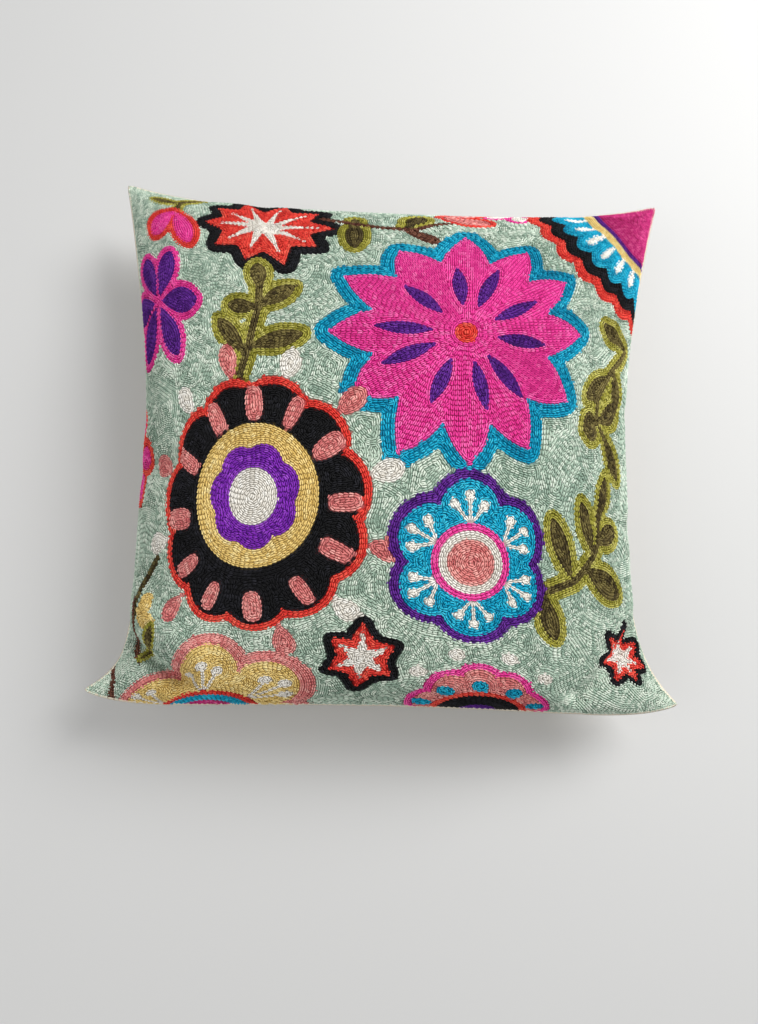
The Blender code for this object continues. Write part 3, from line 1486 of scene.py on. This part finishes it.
@dataclass(frozen=True)
class StitchSizes:
    """How large and how uneven the links of the rows are.

    Attributes:
        overlap: A link's length, as a share of its row's step.
        width: How wide a link is, in metres.
        height: How high it stands.
        unevenness: How far each link's width and height may differ, as a share.
        sway: How far each link may lean out of its row, in radians.
        raise_by: How high a link's middle lies over the cloth.
    """

    overlap: float = 1.36
    width: float = 0.00282
    height: float = 0.00150
    unevenness: float = 0.10
    sway: float = 0.10
    raise_by: float = 0.00055


class StitchTree:
    """The Geometry Nodes that set a link on each point and make them one mesh."""

    def __init__(self) -> None:
        """Builds the tree."""
        self.group = bpy.data.node_groups.new("stitch_rows", "GeometryNodeTree")
        self.sockets: dict[str, str] = {}
        self.socket("Points", "NodeSocketGeometry")
        self.socket("Link", "NodeSocketObject")
        self.socket("Yarn", "NodeSocketMaterial")
        for name in ("Width", "Height", "Unevenness"):
            self.socket(name, "NodeSocketFloat")
        self.socket("Seed", "NodeSocketInt")
        self.group.interface.new_socket("Stitches", in_out="OUTPUT", socket_type="NodeSocketGeometry")
        self.build(NodeTree(self.group))

    def socket(self, name: str, kind: str) -> None:
        """Adds one named input and keeps its identifier."""
        made = self.group.interface.new_socket(name, in_out="INPUT", socket_type=kind)
        self.sockets[name] = made.identifier

    def build(self, nodes: NodeTree) -> None:
        """Adds the nodes: read each point's directions, set a link there, realize, dress."""
        given = nodes.add("NodeGroupInput").outputs
        outward = nodes.add("GeometryNodeInputNamedAttribute", {"Name": "outward"}, data_type="FLOAT_VECTOR")
        forward = nodes.add("GeometryNodeInputNamedAttribute", {"Name": "forward"}, data_type="FLOAT_VECTOR")
        length = nodes.add("GeometryNodeInputNamedAttribute", {"Name": "length"}, data_type="FLOAT")
        turn = nodes.add(
            "FunctionNodeAxesToRotation",
            {"Primary Axis": outward.outputs["Attribute"], "Secondary Axis": forward.outputs["Attribute"]},
            primary_axis="Z",
            secondary_axis="X",
        )
        low = nodes.add("ShaderNodeMath", {0: 1.0, 1: given["Unevenness"]}, operation="SUBTRACT")
        high = nodes.add("ShaderNodeMath", {0: 1.0, 1: given["Unevenness"]}, operation="ADD")
        uneven = nodes.add("FunctionNodeRandomValue", {"Seed": given["Seed"]}, data_type="FLOAT")
        nodes.join(low.outputs[0], uneven.inputs[2])
        nodes.join(high.outputs[0], uneven.inputs[3])
        size = nodes.add(
            "ShaderNodeCombineXYZ", {"X": length.outputs["Attribute"], "Y": given["Width"], "Z": given["Height"]}
        )
        grown = nodes.add("ShaderNodeCombineXYZ", {"X": 1.0, "Y": uneven.outputs[1], "Z": uneven.outputs[1]})
        scale = nodes.add("ShaderNodeVectorMath", {0: size.outputs[0], 1: grown.outputs[0]}, operation="MULTIPLY")
        shape = nodes.add("GeometryNodeObjectInfo", {"Object": given["Link"]})
        points = nodes.add("GeometryNodeMeshToPoints", {"Mesh": given["Points"]})
        placed = nodes.add(
            "GeometryNodeInstanceOnPoints",
            {
                "Points": points.outputs[0],
                "Instance": shape.outputs["Geometry"],
                "Rotation": turn.outputs[0],
                "Scale": scale.outputs[0],
            },
        )
        real = nodes.add("GeometryNodeRealizeInstances", {"Geometry": placed.outputs[0]})
        dressed = nodes.add("GeometryNodeSetMaterial", {"Geometry": real.outputs[0], "Material": given["Yarn"]})
        nodes.join(dressed.outputs[0], nodes.add("NodeGroupOutput").inputs[0])


@dataclass
class StitchedRows:
    """Turns the rows on the flat panel into meshes on the filled front, one for each yarn."""

    cover: FilledCover
    panel: WorkedPanel
    sizes: StitchSizes = StitchSizes()
    most_links: int = 5600
    chance: np.random.Generator = field(default_factory=lambda: np.random.default_rng(SEED + 2))
    yarn: np.ndarray = field(init=False)
    middle: np.ndarray = field(init=False)
    points: np.ndarray = field(init=False)
    forward: np.ndarray = field(init=False)
    outward: np.ndarray = field(init=False)
    length: np.ndarray = field(init=False)
    tint: np.ndarray = field(init=False)

    def place(self, table: LinkTable) -> None:
        """Finds where each link lies on the filled front, and which yarn it has.

        Args:
            table: The links on the flat panel.
        """
        start, end, row = table.joined()
        middle = (start + end) / 2
        self.yarn = self.panel.yarn[self.panel.spot_of(middle)]
        on_start, on_end = self.cover.on_front(start), self.cover.on_front(end)
        forward = on_end - on_start
        reach = np.linalg.norm(forward, axis=1)
        flat_forward = (end - start) / np.maximum(np.linalg.norm(end - start, axis=1, keepdims=True), 1e-9)
        aside = np.stack([-flat_forward[:, 1], flat_forward[:, 0]], 1) * PITCH / 2
        across = self.cover.on_front(middle + aside) - self.cover.on_front(middle - aside)
        outward = np.cross(forward, across)
        outward /= np.maximum(np.linalg.norm(outward, axis=1, keepdims=True), 1e-12)
        forward = forward / np.maximum(reach[:, None], 1e-9)
        across = np.cross(outward, forward)
        sway = self.chance.uniform(-self.sizes.sway, self.sizes.sway, len(row))[:, None]
        self.forward = forward * np.cos(sway) + across * np.sin(sway)
        self.outward = outward
        self.points = (on_start + on_end) / 2 + outward * self.sizes.raise_by
        self.length = np.maximum(reach, LINK * 0.55) * self.sizes.overlap
        self.tint = self.tints(middle, row)
        self.middle = middle

    def tints(self, middle: np.ndarray, row: np.ndarray) -> np.ndarray:
        """How light each link is, from 0 to 1: by patch, by row and by itself."""
        patches = uneven_field(self.chance, 22)
        column, line = ((middle / self.panel.side + 0.5) * 21.99).clip(0, 20.99).T
        low_x, low_y = column.astype(int), line.astype(int)
        lower = between(patches[low_y, low_x], patches[low_y, low_x + 1], column - low_x)
        upper = between(patches[low_y + 1, low_x], patches[low_y + 1, low_x + 1], column - low_x)
        patch = between(lower, upper, line - low_y)
        by_row = self.chance.normal(0, 1, row.max() + 1)[row]
        alone = self.chance.normal(0, 1, len(row))
        return np.clip(0.5 + 0.06 * patch + 0.06 * by_row + 0.20 * alone, 0, 1)

    def pieces(self) -> list[tuple[str, Yarn, np.ndarray]]:
        """The links shared out: one piece for each yarn, and more where there are many.

        Returns:
            For each piece its name, its yarn and which links it holds.
        """
        shared = []
        for yarn in Yarn:
            mine = np.flatnonzero(self.yarn == yarn.value)
            if not len(mine):
                continue
            bands = math.ceil(len(mine) / self.most_links)
            mine = mine[np.argsort(-self.middle[mine, 1], kind="stable")]
            for step, band in enumerate(np.array_split(mine, bands), 1):
                name = f"{yarn.name.lower()}_stitches" + (f"_{step}" if bands > 1 else "")
                shared.append((name, yarn, band))
        return shared

    def build(self, materials: dict[Yarn, bpy.types.Material]) -> list[tuple[bpy.types.Object, Yarn]]:
        """Makes the pieces.

        Args:
            materials: The finish of each yarn.

        Returns:
            Each piece with its yarn.
        """
        tree = StitchTree()
        link = add_object("chain_link", ChainLink().mesh())
        made = []
        for name, yarn, links in self.pieces():
            points = self.point_mesh(name, links)
            piece = add_object(name, points)
            rows = piece.modifiers.new("Rows", "NODES")
            rows.node_group = tree.group
            values = {
                "Link": link,
                "Yarn": materials[yarn],
                "Width": self.sizes.width,
                "Height": self.sizes.height,
                "Unevenness": self.sizes.unevenness,
                "Seed": SEED,
            }
            for label, value in values.items():
                rows[tree.sockets[label]] = value
            graph = bpy.context.evaluated_depsgraph_get()
            mesh = bpy.data.meshes.new_from_object(piece.evaluated_get(graph), depsgraph=graph)
            piece.modifiers.remove(rows)
            piece.data = mesh
            mesh.name = name
            bpy.data.meshes.remove(points)
            self.add_bake_map(mesh, len(links), len(link.data.vertices))
            made.append((piece, yarn))
        bpy.data.objects.remove(link)
        return made

    def point_mesh(self, name: str, links: np.ndarray) -> bpy.types.Mesh:
        """A mesh of bare points that carry where and how each link lies."""
        mesh = bpy.data.meshes.new(name + "_points")
        mesh.vertices.add(len(links))
        mesh.vertices.foreach_set("co", self.points[links].astype(np.float32).ravel())
        for label, values in (("outward", self.outward), ("forward", self.forward)):
            attribute = mesh.attributes.new(label, "FLOAT_VECTOR", "POINT")
            attribute.data.foreach_set("vector", values[links].astype(np.float32).ravel())
        for label, values in (("length", self.length), ("tint", self.tint)):
            attribute = mesh.attributes.new(label, "FLOAT", "POINT")
            attribute.data.foreach_set("value", values[links].astype(np.float32))
        mesh.update()
        return mesh

    def add_bake_map(self, mesh: bpy.types.Mesh, links: int, corners: int) -> None:
        """Gives each link its own square of a UV map, for a bake of its colours.

        Args:
            mesh: The realized links.
            links: How many there are.
            corners: How many points one link has.
        """
        side = math.ceil(math.sqrt(links))
        shape = ChainLink().mesh()
        flat = np.array([(v.co.x + 0.11 * v.co.z, v.co.y + 0.17 * v.co.z) for v in shape.vertices])
        bpy.data.meshes.remove(shape)
        flat = (flat - flat.min(0)) / np.ptp(flat, axis=0) * 0.9 + 0.05
        number = np.arange(len(mesh.vertices))
        link = number // corners
        cell = np.stack([link % side, link // side], 1)
        spots = (cell + flat[number % corners]) / side
        corner = np.empty(len(mesh.loops), np.int32)
        mesh.loops.foreach_get("vertex_index", corner)
        layer = mesh.uv_layers.new(name="OFBake")
        layer.uv.foreach_set("vector", spots[corner].astype(np.float32).ravel())


def uneven_field(chance: np.random.Generator, cells: int) -> np.ndarray:
    """A small square map of soft random patches, about -1 to 1."""
    rough = chance.normal(0, 1, (cells + 1, cells + 1))
    soft = softened(rough, 1)
    return soft / soft.std()


# Finishes


@dataclass(frozen=True)
class WoolFinish:
    """Soft twisted wool, uneven in its dye, with a faint halo of fibres.

    Attributes:
        fibre: How many fibre streaks there are in a metre.
        streak: How strongly the streaks change the colour.
        relief: How high the fibres stand, in metres.
        roughness: How dull the wool is.
        sheen: How strong its halo is.
    """

    fibre: float = 2600.0
    streak: float = 0.34
    relief: float = 0.00025
    roughness: float = 0.86
    sheen: float = 0.28

    def material(self, yarn: Yarn) -> bpy.types.Material:
        """Builds the finish of one yarn.

        Args:
            yarn: The yarn.

        Returns:
            Its material.
        """
        dye = DYES[yarn]
        material = bpy.data.materials.new(f"{yarn.name.lower()}_wool")
        material.use_nodes = True
        nodes = NodeTree(material.node_tree)
        shader = material.node_tree.nodes["Principled BSDF"]
        place = nodes.add("ShaderNodeTexCoord").outputs["Object"]
        tint = nodes.add("ShaderNodeAttribute", attribute_name="tint").outputs["Fac"]
        fibres = nodes.add("ShaderNodeTexNoise", {"Vector": place, "Scale": self.fibre, "Detail": 2.0})
        wander = nodes.add("ShaderNodeMath", {0: fibres.outputs[0], 1: 0.5}, operation="SUBTRACT")
        streaks = nodes.add("ShaderNodeMath", {0: wander.outputs[0], 1: self.streak}, operation="MULTIPLY")
        centred = nodes.add("ShaderNodeMath", {0: tint, 1: 0.5}, operation="SUBTRACT")
        spread = nodes.add("ShaderNodeMath", {0: centred.outputs[0], 1: 2 * dye.heather}, operation="MULTIPLY")
        mixed = nodes.add("ShaderNodeMath", {0: spread.outputs[0], 1: streaks.outputs[0]}, operation="ADD")
        share = nodes.add("ShaderNodeMath", {0: mixed.outputs[0], 1: 0.5}, operation="ADD", use_clamp=True)
        ramp = nodes.add("ShaderNodeValToRGB", {0: share.outputs[0]})
        stops = ramp.color_ramp.elements
        stops[0].color = (*linear(dye.dark), 1)
        stops[1].color = (*linear(dye.light), 1)
        stops.new(0.5).color = (*linear(dye.middle), 1)
        nodes.join(ramp.outputs[0], shader.inputs["Base Color"])
        bump = nodes.add("ShaderNodeBump", {"Height": fibres.outputs[0], "Distance": self.relief, "Strength": 0.6})
        nodes.join(bump.outputs[0], shader.inputs["Normal"])
        shader.inputs["Roughness"].default_value = self.roughness
        shader.inputs["Specular IOR Level"].default_value = 0.25
        shader.inputs["Sheen Weight"].default_value = self.sheen
        shader.inputs["Sheen Roughness"].default_value = 0.45
        shader.inputs["Sheen Tint"].default_value = (*linear(dye.light), 1)
        return material


@dataclass(frozen=True)
class ShadedBaseClothFinish:
    """The cotton that the stitches are worked through, seen only in the gaps between them. Its colour is painted
    shade: the dark colour of the yarn above it, darkened further, stands in for the shadow between the stitches.
    """

    # How much the painted shade darkens each yarn's dark colour.
    shade: float = 0.72

    def material(self) -> bpy.types.Material:
        """Builds the finish, which reads its painted shade colour from the mesh."""
        material = bpy.data.materials.new("base_cloth")
        material.use_nodes = True
        nodes = NodeTree(material.node_tree)
        shader = material.node_tree.nodes["Principled BSDF"]
        place = nodes.add("ShaderNodeTexCoord").outputs["Object"]
        # Painted shade: this colour is the dark colour of the yarn above, darkened, in place of the shadow in the
        # gaps.
        colour = nodes.add("ShaderNodeAttribute", attribute_name="yarn_colour").outputs["Color"]
        grain = nodes.add("ShaderNodeTexNoise", {"Vector": place, "Scale": 1800.0, "Detail": 1.0})
        light = nodes.add("ShaderNodeMapRange", {"Value": grain.outputs[0], "To Min": 0.75, "To Max": 1.2})
        mixed = nodes.add("ShaderNodeVectorMath", {0: colour, "Scale": light.outputs[0]}, operation="SCALE")
        nodes.join(mixed.outputs[0], shader.inputs["Base Color"])
        shader.inputs["Roughness"].default_value = 0.95
        shader.inputs["Specular IOR Level"].default_value = 0.15
        return material


@dataclass(frozen=True)
class CottonFinish:
    """Cream cotton in plain weave, for the back and the seam's edge.

    Attributes:
        thread: From one thread to the next, in metres.
        relief: How high the threads stand.
        middle: The usual colour, from 0 to 255.
        dark: The colour between the threads, painted shade in the hollows of the weave.
        light: The colour of paler threads.
    """

    thread: float = 0.0011
    relief: float = 0.00022
    middle: Colour = (226, 214, 190)
    dark: Colour = (190, 175, 147)
    light: Colour = (240, 231, 212)

    def material(self) -> bpy.types.Material:
        """Builds the finish, which follows the cloth's own UV map."""
        material = bpy.data.materials.new("cream_cotton")
        material.use_nodes = True
        nodes = NodeTree(material.node_tree)
        shader = material.node_tree.nodes["Principled BSDF"]
        place = nodes.add("ShaderNodeUVMap", uv_map="cloth").outputs["UV"]
        apart = nodes.add("ShaderNodeSeparateXYZ", {"Vector": place})
        waves = []
        for axis in ("X", "Y"):
            turns = nodes.add(
                "ShaderNodeMath", {0: apart.outputs[axis], 1: math.pi / self.thread}, operation="MULTIPLY"
            )
            waves.append(nodes.add("ShaderNodeMath", {0: turns.outputs[0]}, operation="SINE").outputs[0])
        woven = nodes.add("ShaderNodeMath", {0: waves[0], 1: waves[1]}, operation="MULTIPLY")
        bumps = nodes.add("ShaderNodeMath", {0: woven.outputs[0]}, operation="ABSOLUTE")
        slubs = nodes.add("ShaderNodeMapping", {"Vector": place, "Scale": (40.0, 900.0, 1.0)})
        slub = nodes.add("ShaderNodeTexNoise", {"Vector": slubs.outputs[0], "Scale": 1.0, "Detail": 2.0})
        cross = nodes.add("ShaderNodeMapping", {"Vector": place, "Scale": (900.0, 40.0, 1.0)})
        weft = nodes.add("ShaderNodeTexNoise", {"Vector": cross.outputs[0], "Scale": 1.0, "Detail": 2.0})
        threads = nodes.add("ShaderNodeMath", {0: slub.outputs[0], 1: weft.outputs[0]}, operation="ADD")
        lifted = nodes.add("ShaderNodeMath", {0: threads.outputs[0], 1: 0.45, 2: 0.03}, operation="MULTIPLY_ADD")
        share = nodes.add(
            "ShaderNodeMath", {0: bumps.outputs[0], 1: 0.45, 2: lifted.outputs[0]}, operation="MULTIPLY_ADD"
        )
        # Painted shade: the ramp darkens the hollows between the threads of the weave, and the slub noise makes
        # some threads paler.
        ramp = nodes.add("ShaderNodeValToRGB", {0: share.outputs[0]})
        stops = ramp.color_ramp.elements
        stops[0].position, stops[1].position = 0.15, 0.95
        stops[0].color = (*linear(self.dark), 1)
        stops[1].color = (*linear(self.light), 1)
        stops.new(0.55).color = (*linear(self.middle), 1)
        nodes.join(ramp.outputs[0], shader.inputs["Base Color"])
        bump = nodes.add("ShaderNodeBump", {"Height": share.outputs[0], "Distance": self.relief, "Strength": 0.8})
        nodes.join(bump.outputs[0], shader.inputs["Normal"])
        shader.inputs["Roughness"].default_value = 0.9
        shader.inputs["Specular IOR Level"].default_value = 0.2
        shader.inputs["Sheen Weight"].default_value = 0.12
        return material


# The cover's own cloth


@dataclass
class CoverCloth:
    """The front's base cloth, the plain back and the seam that joins them, as one mesh."""

    cover: FilledCover
    panel: WorkedPanel
    seam_reach: float = 0.0018
    seam_half: float = 0.0009

    def build(self) -> bpy.types.Object:
        """Makes the piece.

        Returns:
            The cover's cloth.
        """
        front, back = self.cover.front, self.cover.back
        count = len(front)
        lift = np.array([0, 0, self.seam_half])
        upper, lower = front.copy(), back.copy()
        border = self.border(count)
        upper.reshape(-1, 3)[border] += lift
        lower.reshape(-1, 3)[border] -= lift
        edge = front.reshape(-1, 3)[border]
        run = np.roll(edge, -1, 0) - np.roll(edge, 1, 0)
        out = np.stack([run[:, 1], -run[:, 0], np.zeros(len(run))], 1)
        out /= np.linalg.norm(out, axis=1, keepdims=True)
        ridge = edge + softened_ring(out, 6) * self.seam_reach
        points = np.vstack([upper.reshape(-1, 3), lower.reshape(-1, 3), ridge])
        under = count * count
        rim = 2 * under + np.arange(len(border))
        after, next_rim = np.roll(border, -1), np.roll(rim, -1)
        band = [
            np.stack([border, rim, next_rim, after], 1),
            np.stack([rim, under + border, under + after, next_rim], 1),
        ]
        faces = np.vstack([grid_faces(count), grid_faces(count, under, turned=True), *band])
        mesh = mesh_from("cover", points, faces)
        self.dress(mesh, count)
        self.add_maps(mesh, count, border)
        return add_object("cover", mesh)

    def border(self, count: int) -> np.ndarray:
        """The numbers of the points round a square grid, in order and running anticlockwise."""
        number = np.arange(count * count).reshape(count, count)
        return np.concatenate([number[0, :-1], number[:-1, -1], number[-1, :0:-1], number[:0:-1, 0]])

    def dress(self, mesh: bpy.types.Mesh, count: int) -> None:
        """Gives the front the base cloth, coloured with painted shade taken from the dark colour of the yarn over
        it, and gives the rest plain cotton.
        """
        mesh.materials.append(CottonFinish().material())
        mesh.materials.append(ShadedBaseClothFinish().material())
        kind = np.zeros(len(mesh.polygons), np.int32)
        kind[: (count - 1) ** 2] = 1
        mesh.polygons.foreach_set("material_index", kind)
        line = np.linspace(-self.panel.side / 2, self.panel.side / 2, count)
        places = np.stack([axis.ravel() for axis in np.meshgrid(line, line)], 1)
        yarn = self.panel.yarn[self.panel.spot_of(places)]
        # Painted shade: each yarn's dark colour, darkened, stands in for the shadow in the gaps between its
        # stitches.
        painted_shade_per_yarn = np.array([linear(DYES[Yarn(number)].dark) for number in range(len(Yarn))])
        colour = np.ones((len(mesh.vertices), 4), np.float32)
        colour[:, :3] = linear(CottonFinish().middle)
        colour[: len(places), :3] = painted_shade_per_yarn[yarn] * ShadedBaseClothFinish().shade
        attribute = mesh.attributes.new("yarn_colour", "FLOAT_COLOR", "POINT")
        attribute.data.foreach_set("color", colour.ravel())

    def add_maps(self, mesh: bpy.types.Mesh, count: int, border: np.ndarray) -> None:
        """Adds the cloth's own map in metres, and a map for a bake with a place for each part.

        Args:
            mesh: The cover's mesh.
            count: How many points its grids have each way.
            border: The numbers of the points round a grid.
        """
        line = np.linspace(0, self.panel.side, count)
        flat = np.stack([axis.ravel() for axis in np.meshgrid(line, line)], 1)
        cloth = np.vstack([flat, flat, flat[border] * 1.004 + 0.001])
        corner = np.empty(len(mesh.loops), np.int32)
        mesh.loops.foreach_get("vertex_index", corner)
        layer = mesh.uv_layers.new(name="cloth")
        layer.uv.foreach_set("vector", cloth[corner].astype(np.float32).ravel())
        share = flat / self.panel.side
        panels = 2 * (count - 1) ** 2 * 4
        bake = np.empty((len(mesh.loops), 2), np.float32)
        front_corners = corner[: panels // 2]
        bake[: panels // 2] = share[front_corners] * (0.49, 0.9) + (0.004, 0.004)
        back_corners = corner[panels // 2 : panels] - count * count
        bake[panels // 2 : panels] = share[back_corners] * (0.49, 0.9) + (0.506, 0.004)
        faces = len(border)
        step = np.arange(faces) / faces
        for strip, base in enumerate((0.925, 0.965)):
            first = panels + strip * faces * 4
            left, right = step * 0.99 + 0.004, (step + 1 / faces) * 0.99 + 0.004
            low, high = np.full(faces, base), np.full(faces, base + 0.03)
            spots = [(left, high), (left, low), (right, low), (right, high)]
            block = np.stack([np.stack(spot, 1) for spot in spots], 1).reshape(-1, 2)
            bake[first : first + faces * 4] = block
        layer = mesh.uv_layers.new(name="OFBake")
        layer.uv.foreach_set("vector", bake.ravel())


def softened_ring(values: np.ndarray, times: int) -> np.ndarray:
    """A closed row of directions, each mixed with its neighbours and kept one unit long."""
    for _ in range(times):
        values = (np.roll(values, 1, 0) + 2 * values + np.roll(values, -1, 0)) / 4
    return values / np.linalg.norm(values, axis=1, keepdims=True)


# The room


@dataclass(frozen=True)
class SoftLight:
    """One large soft lamp."""

    name: str
    place: tuple[float, float, float]
    size: float
    watts: float
    colour: Colour = (255, 255, 255)

    def add(self) -> None:
        """Hangs the lamp, turned towards the cushion."""
        data = bpy.data.lights.new(self.name, "AREA")
        data.size = self.size
        data.energy = self.watts
        data.color = linear(self.colour)
        lamp = bpy.data.objects.new(self.name, data)
        lamp.location = self.place
        lamp.rotation_euler = (-Vector(self.place)).to_track_quat("-Z", "Y").to_euler()
        bpy.context.scene.collection.objects.link(lamp)


@dataclass(frozen=True)
class Room:
    """A plain pale floor, soft studio light and the camera."""

    lens: float = 27.0
    camera_place: tuple[float, float, float] = (-0.0032, -0.1507, 0.6476)
    pitch: float = 0.1538
    roll: float = 0.0140
    floor: float = 3.0
    floor_colour: Colour = (200, 200, 199)
    sky: float = 0.50
    lamps: tuple[SoftLight, ...] = (
        SoftLight("key_lamp", (0.95, 0.70, 1.15), 0.8, 27.0),
        SoftLight("fill_lamp", (-1.1, -0.5, 1.2), 1.4, 7.0),
    )

    def build(self) -> None:
        """Adds the floor, the light and the camera."""
        half = self.floor / 2
        corners = np.array([(-half, -half, 0), (half, -half, 0), (half, half, 0), (-half, half, 0)])
        floor = add_object("floor", mesh_from("floor", corners, np.array([[0, 1, 2, 3]])))
        material = bpy.data.materials.new("pale_floor")
        material.use_nodes = True
        shader = material.node_tree.nodes["Principled BSDF"]
        shader.inputs["Base Color"].default_value = (*linear(self.floor_colour), 1)
        shader.inputs["Roughness"].default_value = 0.8
        floor.data.materials.append(material)
        for lamp in self.lamps:
            lamp.add()
        world = bpy.data.worlds.new("studio")
        world.use_nodes = True
        world.node_tree.nodes["Background"].inputs["Color"].default_value = (1, 1, 1, 1)
        world.node_tree.nodes["Background"].inputs["Strength"].default_value = self.sky
        bpy.context.scene.world = world
        self.add_camera()

    def add_camera(self) -> None:
        """Adds the camera at the angle from which the cushion is seen."""
        data = bpy.data.cameras.new("camera")
        data.lens = self.lens
        data.sensor_fit = "AUTO"
        data.sensor_width = 36
        camera = bpy.data.objects.new("camera", data)
        turn = Matrix.Rotation(self.pitch, 4, "X") @ Matrix.Rotation(self.roll, 4, "Z")
        camera.matrix_world = Matrix.Translation(self.camera_place) @ turn
        bpy.context.scene.collection.objects.link(camera)
        bpy.context.scene.camera = camera
        bpy.context.scene.view_settings.view_transform = "Standard"


def report(piece: bpy.types.Object) -> None:
    """Logs how large a piece is."""
    piece.data.calc_loop_triangles()
    LOG.info("%s: %d triangles", piece.name, len(piece.data.loop_triangles))


def main() -> None:
    """Builds the cover and the room around it."""
    logging.basicConfig(level=logging.INFO, format="%(message)s")
    cover = FilledCover()
    cover.settle()
    LOG.info("filled cover settled")
    panel = WorkedPanel()
    for motif in DESIGN:
        motif.work(panel)
    table = RowPlan(panel).lay()
    LOG.info("%d rows laid", table.rows)

    cloth = CoverCloth(cover, panel).build()
    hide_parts("cushion")
    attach(cloth, "root")
    report(cloth)

    rows = StitchedRows(cover, panel)
    rows.place(table)
    wool = WoolFinish()
    for piece, yarn in rows.build({yarn: wool.material(yarn) for yarn in Yarn}):
        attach(piece, "root")
        report(piece)
    Room().build()


if __name__ == "__main__":
    main()
